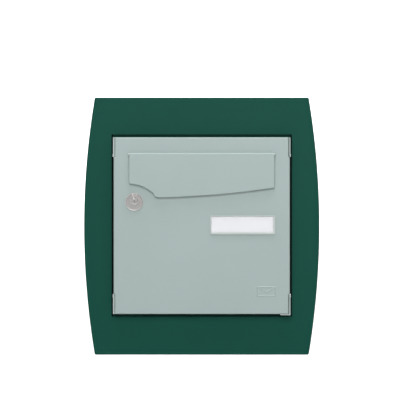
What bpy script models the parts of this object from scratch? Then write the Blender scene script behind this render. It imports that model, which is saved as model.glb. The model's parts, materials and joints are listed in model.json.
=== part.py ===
"""Letter box with a sheet-steel surround, for a welded-mesh fence or a wall.

Lengths are in millimetres here, and make_node turns them into metres.
X runs to the right as seen from the street, Y from the street inwards, and Z up.
The origin is the middle of the plane in which the surround bears on the fence.
"""

import math

import bmesh
import bpy
from mathutils import Matrix, Vector

TO_METRES = 0.001
GAP = 0.3  # between pieces that touch

# Surround: straight top and bottom, sides that bow outwards
SURROUND_HEIGHT = 410.0
SURROUND_END_WIDTH = 341.0
SURROUND_BOW = 17.0
SURROUND_DEPTH = 15.0
SURROUND_SHEET = 1.5
SURROUND_LIP = 8.0
SURROUND_BEND = 2.4
SURROUND_CORNER = 3.0
SURROUND_DROP = 1.0  # how far its middle lies below the door's
OPENING_WIDTH = 287.0
OPENING_HEIGHT = 290.0
LEDGE_FRONT = -9.5
LEDGE_OVERLAP = 1.5  # how far the ledges run past the opening

# Casing: a four-sided wrapper with a folded front flange, and a back panel
CASING_WIDTH = 277.8
CASING_FRONT = -12.3
CASING_REAR = 342.0
CASING_SHEET = 1.0
CASING_FLANGE = 9.0
CASING_BEND = 2.0
BACK_FLANGE = 15.0
WALL_HOLE_SPACING = 200.0
WALL_HOLE_RADIUS = 3.5

# Door: a shallow pan in front of the casing
DOOR_WIDTH = 278.8
DOOR_HEIGHT = 279.4
DOOR_FRONT = -29.0
DOOR_DEPTH = 12.0
DOOR_SHEET = 1.0
DOOR_LIP = 8.0
DOOR_BEND = 1.2
DOOR_REAR = DOOR_FRONT + DOOR_DEPTH
DOOR_SKIN_REAR = DOOR_FRONT + DOOR_SHEET

# Corner lugs beside the door, which is a little narrower there
LUG_HEIGHT = 30.0
LUG_INNER_X = {"left": 137.8, "right": 138.4}
LUG_OUTER_X = 140.3
LUG_NUB_X = 141.0
LUG_REAR = 6.0
LUG_STEP = 1.9
LUG_LEG_THICK = 1.5
LUG_LEG_INNER_X = 124.5

# Door hinge
HINGE_X = 130.6
HINGE_Y = DOOR_FRONT + 4.3
PIN_RADIUS = 1.75
WASHER_RADIUS = 3.0
TONGUE_TOP = 137.3
TONGUE_THICK = 2.0

# Letter slot, and the flap that covers it
SLOT_WIDTH = 220.0
SLOT_LOW = 72.0
SLOT_HIGH = 104.0
SLOT_CORNER = 4.0
FLAP_HALF_WIDTH = 114.7
FLAP_TOP = 114.9
FLAP_SHEET = 1.0
FLAP_SWEEP_RADIUS = 56.0
FLAP_LEFT_LOW = 66.0
FLAP_LOWEST_X = -67.8
FLAP_LOWEST_Z = 44.5
FLAP_FILLET_RADIUS = 11.0
FLAP_RIGHT_LOW = 60.0
FLAP_BULGE = 0.4
BEAD_RADIUS = 2.15
ROD_RADIUS = 1.25
FLAP_AXIS_Y = DOOR_FRONT - GAP - BEAD_RADIUS
FLAP_AXIS_Z = FLAP_TOP - BEAD_RADIUS
FLAP_FRONT = FLAP_AXIS_Y - BEAD_RADIUS
FLAP_REAR = DOOR_FRONT - 0.4
BRACKET_THICK = 1.2
EAR_LOW = FLAP_TOP - 5.7
EAR_HIGH = FLAP_TOP + 0.2

# Lock
LOCK_X = -106.5
LOCK_Z = 40.5
ROSETTE_Z = 37.6
ROSETTE_RADIUS = 14.0
BARREL_RADIUS = 7.0
PLUG_RADIUS = 5.0
LOCK_NUT_RADIUS = 11.5
CAM_FRONT = -9.0
CAM_THICK = 2.0
CAM_REACH = 28.0
CAM_HALF_WIDTH = 8.0
SQUARE_HALF = 2.6

# Name label
LABEL_LEFT = 15.3
LABEL_RIGHT = 112.7
LABEL_LOW = -10.3
LABEL_HIGH = 14.5

# Fence clamp
BRACKET_SHEET = 2.0
BRACKET_HALF_HEIGHT = 144.7
BRACKET_LEG_HALF_HEIGHT = 109.4
BRACKET_STEP_X = 141.5
BRACKET_FRONT = -SURROUND_DEPTH + SURROUND_SHEET + GAP
BRACKET_REAR = 26.0
BRACKET_OUTER_X = 168.0
STUD_X = 157.0
STUD_Z = 85.0
STUD_RADIUS = 3.0
STUD_END = 20.0
NUT_RADIUS = 5.77
WIRE_SPACE = 5.3
BAR_THICK = 3.0
BAR_X = (148.0, 182.0)
BAR_HALF_HEIGHT = 125.0

# Screws and rivets through the casing's side walls
SCREW_Y = 12.0
SCREW_Z = 50.0
SCREW_RADIUS = 2.4
BACK_RIVET_Z = 70.0
RIVET_RADIUS = 1.6
CHUTE_RIVET_Y = 40.0
CHUTE_RIVET_Z = 44.0
HOLE_SIDES = 12

SIDES = {"left": -1, "right": 1}
LEVELS = {"lower": -1, "upper": 1}


# ---------------------------------------------------------------- materials


def paint(name, colour, roughness, metallic=0.0, transmission=0.0):
    material = bpy.data.materials.new(name)
    material.use_nodes = True
    shader = material.node_tree.nodes["Principled BSDF"]
    shader.inputs["Base Color"].default_value = (*colour, 1.0)
    shader.inputs["Roughness"].default_value = roughness
    shader.inputs["Metallic"].default_value = metallic
    shader.inputs["Transmission Weight"].default_value = transmission
    material.diffuse_color = (*colour, 1.0)
    return material


def palette():
    return {
        "green": paint("green_paint", (0.013, 0.075, 0.052), 0.5),
        "grey": paint("grey_paint", (0.39, 0.47, 0.455), 0.45),
        "lug": paint("grey_plastic", (0.42, 0.49, 0.475), 0.5),
        "zinc": paint("zinc_steel", (0.55, 0.56, 0.58), 0.35, 1.0),
        "dark": paint("dark_steel", (0.03, 0.03, 0.03), 0.5, 0.6),
        "chrome": paint("satin_chrome", (0.6, 0.6, 0.58), 0.3, 1.0),
        "rubber": paint("rubber", (0.02, 0.02, 0.02), 0.8),
        "nylon": paint("nylon", (0.75, 0.74, 0.7), 0.5),
        "paper": paint("paper", (0.85, 0.85, 0.87), 0.8),
        "clear": paint("clear_plastic", (0.95, 0.95, 0.95), 0.1, 0.0, 1.0),
    }


# ---------------------------------------------------------------- meshes


def skin(loops, capped=True):
    """A solid from outlines in X and Z at given Y, each joined to the next.

    Capped, the first and last outlines are closed over. Otherwise the last joins the first.
    """
    bm = bmesh.new()
    rings = [[bm.verts.new((x, y, z)) for x, z in outline] for outline, y in loops]
    pairs = list(zip(rings, rings[1:]))
    if capped:
        bm.faces.new(rings[0])
        bm.faces.new(rings[-1])
    else:
        pairs.append((rings[-1], rings[0]))
    for here, beyond in pairs:
        for i in range(len(here)):
            j = (i + 1) % len(here)
            bm.faces.new((here[i], here[j], beyond[j], beyond[i]))
    bmesh.ops.recalc_face_normals(bm, faces=bm.faces)
    return bm


def plate(outline, start, end, along="Y"):
    """A flat plate from an outline, thick along one axis.

    The outline is in X and Z along Y, in X and Y along Z, and in Y and Z along X.
    """
    bm = skin([(outline, start), (outline, end)])
    turn = {
        "Y": Matrix.Identity(4),
        "Z": Matrix(((1, 0, 0, 0), (0, 0, 1, 0), (0, 1, 0, 0), (0, 0, 0, 1))),
        "X": Matrix(((0, 1, 0, 0), (1, 0, 0, 0), (0, 0, 1, 0), (0, 0, 0, 1))),
    }[along]
    bmesh.ops.transform(bm, matrix=turn, verts=bm.verts)
    bmesh.ops.recalc_face_normals(bm, faces=bm.faces)
    return bm


def block(low, high):
    outline = rectangle(low[0], high[0], low[2], high[2])
    return plate(outline, low[1], high[1])


def turned(profile, sides=24):
    """A solid turned about Z from (radius, height) points that run from the axis to the axis.

    A profile that never meets the axis closes on itself as a tube.
    """
    bm = bmesh.new()
    rings = []
    for radius, height in profile:
        if radius == 0:
            rings.append([bm.verts.new((0, 0, height))] * sides)
            continue
        angles = [2 * math.pi * i / sides for i in range(sides)]
        ring = [(radius * math.cos(a), radius * math.sin(a), height) for a in angles]
        rings.append([bm.verts.new(point) for point in ring])
    pairs = list(zip(rings, rings[1:]))
    if profile[0][0] != 0:
        pairs.append((rings[-1], rings[0]))
    for here, beyond in pairs:
        for i in range(sides):
            j = (i + 1) % sides
            corners = dict.fromkeys((here[i], here[j], beyond[j], beyond[i]))
            bm.faces.new(list(corners))
    bmesh.ops.recalc_face_normals(bm, faces=bm.faces)
    return bm


def rod(radius, start, end, sides=24):
    return turned([(0, start), (radius, start), (radius, end), (0, end)], sides)


def tube(outer, inner, start, end, sides=24):
    return turned([(inner, start), (outer, start), (outer, end), (inner, end)], sides)


def aimed(bm, axis, at=(0, 0, 0)):
    """Turns a solid's Z axis to the given direction and moves it there."""
    turn = Vector((0, 0, 1)).rotation_difference(Vector(axis)).to_matrix().to_4x4()
    bmesh.ops.transform(bm, matrix=Matrix.Translation(at) @ turn, verts=bm.verts)
    return bm


def joined(*solids):
    """Several separate solids as one mesh, for use as one cutter."""
    bm = bmesh.new()
    for solid in solids:
        mesh = bpy.data.meshes.new("part")
        solid.to_mesh(mesh)
        bm.from_mesh(mesh)
        bpy.data.meshes.remove(mesh)
    return bm


# ---------------------------------------------------------------- outlines


def rectangle(left, right, low, high):
    return [Vector((left, low)), Vector((right, low)), Vector((right, high)), Vector((left, high))]


def arc(centre, radius, start_deg, end_deg, steps):
    angles = [math.radians(start_deg + (end_deg - start_deg) * i / steps) for i in range(steps + 1)]
    return [Vector((centre[0] + radius * math.cos(a), centre[1] + radius * math.sin(a))) for a in angles]


def rounded_rectangle(left, right, low, high, radius, steps=3):
    points = arc((right - radius, low + radius), radius, -90, 0, steps)
    points += arc((right - radius, high - radius), radius, 0, 90, steps)
    points += arc((left + radius, high - radius), radius, 90, 180, steps)
    points += arc((left + radius, low + radius), radius, 180, 270, steps)
    return points


def inset(outline, distance):
    """The outline moved inwards. Its points run anticlockwise."""
    moved = []
    befores = outline[-1:] + outline[:-1]
    afters = outline[1:] + outline[:1]
    for before, here, after in zip(befores, outline, afters):
        into = (here - before).normalized()
        onward = (after - here).normalized()
        left_in = Vector((-into.y, into.x))
        left_on = Vector((-onward.y, onward.x))
        moved.append(here + (left_in + left_on) * distance / (1 + left_in.dot(left_on)))
    return moved


def rounded_front(outline, front, radius, steps=3):
    """The loops of a front edge with a round bend, from its flat face outwards."""
    loops = []
    for i in range(steps + 1):
        angle = math.pi / 2 * i / steps
        depth = front + radius * (1 - math.cos(angle))
        loops.append((inset(outline, radius * (1 - math.sin(angle))), depth))
    return loops


def surround_outline(inside=0.0):
    """Straight ends, and sides that bow outwards in one long arc, at a distance inside the edge."""
    half = SURROUND_HEIGHT / 2
    side_radius = (half**2 + SURROUND_BOW**2) / (2 * SURROUND_BOW)
    side_centre = SURROUND_END_WIDTH / 2 + SURROUND_BOW - side_radius
    half -= inside
    side_radius -= inside
    corner = max(SURROUND_CORNER - inside, 0.3)
    reach = math.degrees(math.asin((half - corner) / (side_radius - corner)))
    corner_x = side_centre + (side_radius - corner) * math.cos(math.radians(reach))
    bend = arc((corner_x, half - corner), corner, reach, 90, 4)
    side = arc((side_centre, 0), side_radius, -reach, reach, 16)[1:-1]
    right = [Vector((p.x, -p.y)) for p in reversed(bend)] + side + bend
    right = [Vector((p.x, p.y - SURROUND_DROP)) for p in right]
    return right + [Vector((-p.x, p.y)) for p in reversed(right)]


def door_outline():
    """The door's face, narrower beside the corner lugs."""
    wide = DOOR_WIDTH / 2
    narrow = wide - LUG_STEP
    high = DOOR_HEIGHT / 2
    lug = high - LUG_HEIGHT
    right = [(narrow, -high), (narrow, GAP - lug), (wide, GAP + LUG_STEP - lug)]
    right += [(x, -z) for x, z in reversed(right)]
    return [Vector(p) for p in right] + [Vector((-x, z)) for x, z in reversed(right)]


def flap_outline():
    """The flap's face: straight top and sides, and a lower edge that sweeps over the lock, dips and rises."""
    sweep_centre = (-FLAP_HALF_WIDTH, FLAP_LEFT_LOW - FLAP_SWEEP_RADIUS)
    sweep = arc(sweep_centre, FLAP_SWEEP_RADIUS, 90, 45, 8)
    fillet_centre = (FLAP_LOWEST_X, FLAP_LOWEST_Z + FLAP_FILLET_RADIUS)
    fillet = arc(fillet_centre, FLAP_FILLET_RADIUS, 232, 270, 4)
    run = FLAP_HALF_WIDTH - FLAP_LOWEST_X
    rise = FLAP_RIGHT_LOW - FLAP_LOWEST_Z
    first_slope = 0.02
    bend = (rise - first_slope * run) / run**2
    steps = 10
    travels = [run * i / steps for i in range(1, steps + 1)]
    curve = [Vector((FLAP_LOWEST_X + t, FLAP_LOWEST_Z + first_slope * t + bend * t * t)) for t in travels]
    top = [Vector((FLAP_HALF_WIDTH, FLAP_AXIS_Z)), Vector((-FLAP_HALF_WIDTH, FLAP_AXIS_Z))]
    return sweep + fillet + curve + top


# ---------------------------------------------------------------- objects


def make_node(name, bm, material, parent=None):
    """The named object of one sub-part, in metres, with its origin on its parent's axis."""
    origin = parent.matrix_world.translation if parent else Vector((0, 0, 0))
    bmesh.ops.scale(bm, vec=(TO_METRES,) * 3, verts=bm.verts)
    bmesh.ops.translate(bm, vec=-origin, verts=bm.verts)
    mesh = bpy.data.meshes.new(name)
    bm.to_mesh(mesh)
    bm.free()
    mesh.materials.append(material)
    mesh.shade_smooth()
    mesh.set_sharp_from_angle(angle=math.radians(35))
    node = bpy.data.objects.new(name, mesh)
    bpy.context.scene.collection.objects.link(node)
    node.parent = parent
    return node


def combine(node, solid, operation):
    """Adds a solid to a node, or cuts it away, with a Boolean modifier."""
    name = f"{node.name}_{operation.lower()}_{len(node.modifiers)}"
    tool = make_node(name, solid, node.data.materials[0], node.parent)
    tool.hide_render = True
    tool.display_type = "WIRE"
    modifier = node.modifiers.new(operation.title(), "BOOLEAN")
    modifier.operation = operation
    modifier.object = tool
    modifier.solver = "EXACT"


def make_axis(name, point, parent=None):
    """An empty on a joint's axis, which carries the pieces that turn about it."""
    axis = bpy.data.objects.new(name, None)
    axis.empty_display_size = 0.02
    bpy.context.scene.collection.objects.link(axis)
    origin = parent.matrix_world.translation if parent else Vector((0, 0, 0))
    axis.parent = parent
    axis.location = Vector(point) * TO_METRES - origin
    bpy.context.view_layer.update()
    return axis


# ---------------------------------------------------------------- casing body


def make_surround(paints):
    """A folded sheet with an opening. A stepped ledge closes the opening's top and bottom to the casing."""
    outline = surround_outline()
    floor = -SURROUND_DEPTH + SURROUND_SHEET
    inside = surround_outline(SURROUND_SHEET)
    lip_edge = surround_outline(SURROUND_SHEET + SURROUND_LIP)
    loops = rounded_front(outline, -SURROUND_DEPTH, SURROUND_BEND)
    loops += [(outline, 0), (lip_edge, 0), (lip_edge, -SURROUND_SHEET)]
    loops += [(inside, -SURROUND_SHEET), (inside, floor)]
    node = make_node("surround", skin(loops), paints["green"])
    wide = OPENING_WIDTH / 2
    high = OPENING_HEIGHT / 2
    combine(node, block((-wide, -SURROUND_DEPTH - 5, -high), (wide, floor + 5, high)), "DIFFERENCE")
    reach = wide + LEDGE_OVERLAP
    top = high + SURROUND_SHEET
    rear = LEDGE_FRONT + SURROUND_SHEET
    above_lugs = DOOR_HEIGHT / 2 + GAP
    above_casing = CASING_WIDTH / 2 + GAP
    for level in LEVELS.values():
        for half_width, low, front in (
            (reach, high, floor - 0.3),
            (reach, above_lugs, LEDGE_FRONT),
            (CASING_WIDTH / 2, above_casing, LEDGE_FRONT),
        ):
            edges = sorted((level * low, level * top))
            step = block((-half_width, front, edges[0]), (half_width, rear, edges[1]))
            combine(node, step, "UNION")


def side_hole_points():
    """Where screws and rivets pass through the casing's side walls, as (y, z, hole radius)."""
    for level in LEVELS.values():
        yield SCREW_Y, level * SCREW_Z, SCREW_RADIUS + GAP
        yield CASING_REAR - BACK_FLANGE / 2, level * BACK_RIVET_Z, RIVET_RADIUS + GAP
    yield CHUTE_RIVET_Y, CHUTE_RIVET_Z, RIVET_RADIUS + GAP


def bore(radius, axis, at, sides=HOLE_SIDES):
    """A cutter for a round hole through a wall or plate at a point."""
    reach = 5.0
    return aimed(rod(radius, -reach, reach, sides), axis, at)


def side_bores(holes, wall_x):
    """Cutters for holes through both side walls."""
    bores = [
        bore(radius, (side, 0, 0), (side * wall_x, y, z)) for side in SIDES.values() for y, z, radius in holes
    ]
    return joined(*bores)


def make_casing(paints):
    half = CASING_WIDTH / 2
    outline = rounded_rectangle(-half, half, -half, half, CASING_BEND)
    inside = inset(outline, CASING_SHEET)
    flange_half = half - CASING_FLANGE
    flange_edge = rounded_rectangle(-flange_half, flange_half, -flange_half, flange_half, CASING_BEND)
    flange_rear = CASING_FRONT + CASING_SHEET
    loops = [(outline, CASING_FRONT), (outline, CASING_REAR), (inside, CASING_REAR), (inside, flange_rear)]
    loops += [(flange_edge, flange_rear), (flange_edge, CASING_FRONT)]
    node = make_node("casing_shell", skin(loops, capped=False), paints["grey"])
    combine(node, side_bores(list(side_hole_points()), half), "DIFFERENCE")


def make_back(paints):
    half = CASING_WIDTH / 2 - CASING_SHEET - GAP
    outline = rounded_rectangle(-half, half, -half, half, CASING_BEND)
    inside = inset(outline, CASING_SHEET)
    rear = CASING_REAR - 0.5
    loops = [(outline, rear), (outline, CASING_REAR - BACK_FLANGE), (inside, CASING_REAR - BACK_FLANGE)]
    loops += [(inside, rear - CASING_SHEET)]
    node = make_node("casing_back", skin(loops), paints["grey"])
    rivet_holes = [hole for hole in side_hole_points() if hole[0] > CASING_REAR - BACK_FLANGE]
    combine(node, side_bores(rivet_holes, half), "DIFFERENCE")
    out = WALL_HOLE_SPACING / 2
    spots = [(side * out, rear, level * out) for side in SIDES.values() for level in LEVELS.values()]
    combine(node, joined(*[bore(WALL_HOLE_RADIUS, (0, 1, 0), spot) for spot in spots]), "DIFFERENCE")


def make_rivet(name, side, y, z, paints):
    """A blind rivet through the side wall and the flange inside it."""
    head, tail = 3.2, 2.8
    start = CASING_WIDTH / 2 + GAP
    grip = 2 * CASING_SHEET + 3 * GAP
    profile = [(0, 1), (head * 0.7, 1), (head, 0), (RIVET_RADIUS, 0), (RIVET_RADIUS, -grip)]
    profile += [(tail, -grip), (tail, -grip - 1), (0, -grip - 1)]
    make_node(name, aimed(turned(profile, 12), (side, 0, 0), (side * start, y, z)), paints["zinc"])


def make_lugs(paints):
    """Moulded corner pieces that stand beside the door, flush with its face.

    The lower right one has a leg under the door, which holds the lower hinge pin.
    """
    high = DOOR_HEIGHT / 2
    low = high - LUG_HEIGHT
    for level_name, level in LEVELS.items():
        for side_name, side in SIDES.items():
            ends = high if level > 0 or side < 0 else high + GAP + LUG_LEG_THICK
            inner = LUG_INNER_X[side_name]
            profile = [(inner, low), (LUG_OUTER_X, low), (LUG_NUB_X, low + 1), (LUG_NUB_X, low + 3)]
            profile += [(LUG_OUTER_X, low + 4), (LUG_OUTER_X, ends - 0.5), (LUG_OUTER_X - 0.5, ends)]
            if level < 0 < side:
                profile += [(LUG_LEG_INNER_X, ends), (LUG_LEG_INNER_X, high + GAP), (inner, high + GAP)]
            else:
                profile += [(inner, ends)]
            outline = [Vector((side * x, level * z)) for x, z in profile]
            lug = plate(outline, DOOR_FRONT, LUG_REAR)
            node = make_node(f"lug_{level_name}_{side_name}", lug, paints["lug"])
            casing_side = CASING_WIDTH / 2 + GAP
            edges = sorted((side * (inner - 1), side * casing_side))
            room = block((edges[0], CASING_FRONT - GAP, -high - 9), (edges[1], LUG_REAR + 1, high + 9))
            combine(node, room, "DIFFERENCE")
            if level < 0 < side:
                low_corner = (LUG_LEG_INNER_X - 1, -SURROUND_DEPTH - GAP, -high - 9)
                combine(node, block(low_corner, (LUG_OUTER_X + 1, LUG_REAR + 1, -high)), "DIFFERENCE")
                combine(node, bore(PIN_RADIUS + GAP, (0, 0, 1), (HINGE_X, HINGE_Y, -high)), "DIFFERENCE")


def make_hinge_hardware(paints):
    top = TONGUE_TOP
    left = HINGE_X - 9
    right = HINGE_X + 0.8
    foot_thick = 1.5
    foot_height = 20
    foot_front = CASING_FRONT - GAP - foot_thick
    tongue = [Vector((right, foot_front)), Vector((right, HINGE_Y + 3))]
    tongue += [Vector((HINGE_X + WASHER_RADIUS, HINGE_Y + 1))]
    tongue += arc((HINGE_X, HINGE_Y), WASHER_RADIUS, 0, -180, 8)
    tongue += [Vector((left, HINGE_Y + 3)), Vector((left, foot_front))]
    node = make_node("hinge_bracket_top", plate(tongue, top - TONGUE_THICK, top, "Z"), paints["zinc"])
    foot = block((left, foot_front - 0.001, top - foot_height), (right, foot_front + foot_thick, top))
    combine(node, foot, "UNION")
    combine(node, bore(PIN_RADIUS + GAP, (0, 0, 1), (HINGE_X, HINGE_Y, top)), "DIFFERENCE")

    underside = top - TONGUE_THICK - GAP
    head_radius, head_thick = 2.8, 1.4
    pin_top = DOOR_HEIGHT / 2 - 0.2
    pin = [(0, underside - head_thick), (head_radius, underside - head_thick), (head_radius, underside)]
    pin += [(PIN_RADIUS, underside), (PIN_RADIUS, pin_top), (0, pin_top)]
    make_node("hinge_pin_top", aimed(turned(pin, 16), (0, 0, 1), (HINGE_X, HINGE_Y, 0)), paints["zinc"])
    pin_foot = -DOOR_HEIGHT / 2 - GAP - LUG_LEG_THICK
    pin = aimed(rod(PIN_RADIUS, pin_foot, pin_foot + 9, 16), (0, 0, 1), (HINGE_X, HINGE_Y, 0))
    make_node("hinge_pin_bottom", pin, paints["zinc"])


def make_strike(paints):
    front = CASING_FRONT + CASING_SHEET + GAP
    inner_wall = CASING_WIDTH / 2 - CASING_SHEET - GAP
    make_node("strike_plate", block((-inner_wall, front, 15), (-126, front + 1.5, 66)), paints["zinc"])


def make_chute(paints):
    """A bent plate behind the slot: letters slide over it, a hand can't reach past it."""
    half = CASING_WIDTH / 2 - CASING_SHEET - GAP
    profile = [(2, 66), (75, 46), (75, 30), (76, 30), (76, 46.9), (2.3, 67)]
    sheet = plate([Vector(p) for p in profile], -half, half, "X")
    node = make_node("chute", sheet, paints["zinc"])
    tab = [Vector(p) for p in ((22, 61.2), (22, 38), (60, 38), (60, 50.8))]
    for side in SIDES.values():
        ends = sorted((side * half, side * (half - CASING_SHEET)))
        combine(node, plate(tab, *ends, "X"), "UNION")
    holes = [(CHUTE_RIVET_Y, CHUTE_RIVET_Z, RIVET_RADIUS + GAP)]
    combine(node, side_bores(holes, half), "DIFFERENCE")


def make_fence_clamp(paints):
    bracket_inner = CASING_WIDTH / 2 + GAP
    bracket_bend = bracket_inner + BRACKET_SHEET
    plate_rear = BRACKET_FRONT + BRACKET_SHEET
    bar_front = WIRE_SPACE
    bar_rear = bar_front + BAR_THICK
    for side_name, side in SIDES.items():
        lower = [(bracket_inner, -BRACKET_LEG_HALF_HEIGHT), (BRACKET_STEP_X, -BRACKET_LEG_HALF_HEIGHT)]
        lower += [(BRACKET_STEP_X, -BRACKET_HALF_HEIGHT), (BRACKET_OUTER_X, -BRACKET_HALF_HEIGHT)]
        corners = lower + [(x, -z) for x, z in reversed(lower)]
        outline = [Vector((side * x, z)) for x, z in corners]
        node = make_node(f"side_bracket_{side_name}", plate(outline, BRACKET_FRONT, plate_rear), paints["dark"])
        leg_low = (min(side * bracket_inner, side * bracket_bend), plate_rear - 0.5, -BRACKET_LEG_HALF_HEIGHT)
        leg_high = (max(side * bracket_inner, side * bracket_bend), BRACKET_REAR, BRACKET_LEG_HALF_HEIGHT)
        combine(node, block(leg_low, leg_high), "UNION")
        spots = [(side * bracket_bend, SCREW_Y, level * SCREW_Z) for level in LEVELS.values()]
        combine(node, joined(*[bore(SCREW_RADIUS + GAP, (side, 0, 0), spot) for spot in spots]), "DIFFERENCE")

        edges = sorted(side * x for x in BAR_X)
        bar = block((edges[0], bar_front, -BAR_HALF_HEIGHT), (edges[1], bar_rear, BAR_HALF_HEIGHT))
        node = make_node(f"clamp_bar_{side_name}", bar, paints["zinc"])
        spots = [(side * STUD_X, bar_front, level * STUD_Z) for level in LEVELS.values()]
        combine(node, joined(*[bore(STUD_RADIUS + GAP, (0, 1, 0), spot) for spot in spots]), "DIFFERENCE")

        for level_name, level in LEVELS.items():
            place = f"{level_name}_{side_name}"
            centre = (side * STUD_X, 0, level * STUD_Z)
            washer_start = bar_rear + GAP
            nut_start = washer_start + 1.6 + GAP
            stud = aimed(rod(STUD_RADIUS, plate_rear + GAP, STUD_END, 12), (0, 1, 0), centre)
            make_node(f"stud_{place}", stud, paints["zinc"])
            washer = tube(6.2, STUD_RADIUS + GAP, washer_start, washer_start + 1.6, 16)
            make_node(f"washer_{place}", aimed(washer, (0, 1, 0), centre), paints["zinc"])
            nut = aimed(rod(NUT_RADIUS, nut_start, nut_start + 5, 6), (0, 1, 0), centre)
            node = make_node(f"clamp_nut_{place}", nut, paints["zinc"])
            combine(node, aimed(rod(STUD_RADIUS + GAP, 0, 30, HOLE_SIDES), (0, 1, 0), centre), "DIFFERENCE")

            inner_face = CASING_WIDTH / 2 - CASING_SHEET - GAP
            head = [(0, -2.4), (3.4, -2.2), (4.5, -1.2), (4.5, 0)]
            shank = [(SCREW_RADIUS, 0), (SCREW_RADIUS, 7), (0, 7)]
            seat = (side * inner_face, SCREW_Y, level * SCREW_Z)
            screw = aimed(turned(head + shank, 12), (side, 0, 0), seat)
            make_node(f"bracket_screw_{place}", screw, paints["zinc"])


def make_door_buffers(paints):
    for level_name, level in LEVELS.items():
        profile = [(0, 0), (4, 0), (3.6, -3.6), (2.8, -4), (0, -4)]
        centre = (-CASING_WIDTH / 2 + CASING_FLANGE / 2, CASING_FRONT - GAP, level * 100)
        buffer = aimed(turned(profile, 16), (0, 1, 0), centre)
        make_node(f"door_buffer_{level_name}", buffer, paints["rubber"])


# ---------------------------------------------------------------- door body


def make_door(paints, axis):
    outline = door_outline()
    inside = inset(outline, DOOR_SHEET)
    lip_edge = inset(outline, DOOR_SHEET + DOOR_LIP)
    loops = rounded_front(outline, DOOR_FRONT, DOOR_BEND)
    loops += [(outline, DOOR_REAR), (lip_edge, DOOR_REAR), (lip_edge, DOOR_REAR - DOOR_SHEET)]
    loops += [(inside, DOOR_REAR - DOOR_SHEET), (inside, DOOR_SKIN_REAR)]
    node = make_node("door_panel", skin(loops), paints["grey"], axis)

    slot = rounded_rectangle(-SLOT_WIDTH / 2, SLOT_WIDTH / 2, SLOT_LOW, SLOT_HIGH, SLOT_CORNER)
    slot_cut = plate(slot, DOOR_FRONT - 2, DOOR_SKIN_REAR + 2)
    lock_cut = aimed(rod(BARREL_RADIUS + GAP, -4, 4), (0, 1, 0), (LOCK_X, DOOR_FRONT, LOCK_Z))
    ear_cuts = []
    for side in SIDES.values():
        near, far = flap_ear_span()
        ends = sorted((side * (near - GAP), side * (far + GAP)))
        low = (ends[0], DOOR_FRONT - 2, EAR_LOW - GAP)
        ear_cuts.append(block(low, (ends[1], DOOR_SKIN_REAR + 2, EAR_HIGH + GAP)))
    combine(node, joined(slot_cut, lock_cut, *ear_cuts), "DIFFERENCE")

    # The upper right corner is open at the back and side, where the hinge bracket reaches in.
    high = DOOR_HEIGHT / 2
    under_fold = high - DOOR_SHEET
    side_low = (LUG_LEG_INNER_X, DOOR_SKIN_REAR + 0.5, high - LUG_HEIGHT)
    combine(node, block(side_low, (LUG_OUTER_X + 9, 0, under_fold)), "DIFFERENCE")
    lip_low = (LUG_LEG_INNER_X - 6.5, DOOR_REAR - DOOR_SHEET - 1, high - 20)
    combine(node, block(lip_low, (LUG_LEG_INNER_X + 1, 0, under_fold)), "DIFFERENCE")
    spots = [(HINGE_X, HINGE_Y, level * high) for level in LEVELS.values()]
    combine(node, joined(*[bore(PIN_RADIUS + GAP, (0, 0, 1), spot) for spot in spots]), "DIFFERENCE")


def make_hinge_bearings(paints, axis):
    top = DOOR_HEIGHT / 2 - DOOR_SHEET
    washer = tube(WASHER_RADIUS, PIN_RADIUS + GAP, TONGUE_TOP + GAP, top - GAP, 16)
    make_node("hinge_washer_top", aimed(washer, (0, 0, 1), (HINGE_X, HINGE_Y, 0)), paints["nylon"], axis)
    bush = tube(WASHER_RADIUS, PIN_RADIUS + GAP, -top + GAP, -top + GAP + 4, 16)
    make_node("hinge_bush_bottom", aimed(bush, (0, 0, 1), (HINGE_X, HINGE_Y, 0)), paints["nylon"], axis)


def make_lock(paints, axis):
    back = DOOR_FRONT - GAP
    rim = [(0, back), (ROSETTE_RADIUS, back), (ROSETTE_RADIUS, back - 1.6), (ROSETTE_RADIUS - 0.3, back - 2)]
    rim += [(ROSETTE_RADIUS - 0.8, back - 2), (ROSETTE_RADIUS - 1.8, back - 0.8), (0, back - 0.6)]
    rosette = aimed(turned([(r, -h) for r, h in rim], 40), (0, -1, 0), (LOCK_X, 0, ROSETTE_Z))
    node = make_node("lock_rosette", rosette, paints["chrome"], axis)
    centre = (LOCK_X, 0, LOCK_Z)
    combine(node, aimed(rod(BARREL_RADIUS + GAP, -50, 0), (0, 1, 0), centre), "DIFFERENCE")

    barrel = tube(BARREL_RADIUS, PLUG_RADIUS + GAP, back - 1.8, -11)
    make_node("lock_barrel", aimed(barrel, (0, 1, 0), centre), paints["chrome"], axis)
    nut_start = DOOR_SKIN_REAR + GAP
    nut = aimed(rod(LOCK_NUT_RADIUS, nut_start, nut_start + 4, 6), (0, 1, 0), centre)
    node = make_node("lock_nut", nut, paints["zinc"], axis)
    combine(node, aimed(rod(BARREL_RADIUS + GAP, -50, 0), (0, 1, 0), centre), "DIFFERENCE")


def make_name_plate(paints, axis):
    rear = DOOR_FRONT - GAP
    window_front = rear - 1.3
    seen = (LABEL_LEFT, LABEL_RIGHT, LABEL_LOW, LABEL_HIGH)
    rebate = (seen[0] - 1, seen[1] + 1, seen[2] - 1, seen[3] + 1)
    outer = (seen[0] - 1.8, seen[1] + 3.5, seen[2] - 3.6, seen[3] + 1.6)
    lip = rectangle(*seen)
    pocket = rectangle(*rebate)
    edge = rectangle(*outer)
    front = rear - 1.8
    loops = [(edge, rear), (edge, front + 0.3), (inset(edge, 0.3), front)]
    loops += [(lip, front), (lip, window_front), (pocket, window_front), (pocket, rear)]
    make_node("name_holder", skin(loops, capped=False), paints["lug"], axis)
    sheet = inset(pocket, GAP)
    make_node("name_label", plate(sheet, rear - 0.35, rear - 0.05), paints["paper"], axis)
    make_node("name_window", plate(sheet, window_front + GAP, window_front + 0.8), paints["clear"], axis)


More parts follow.
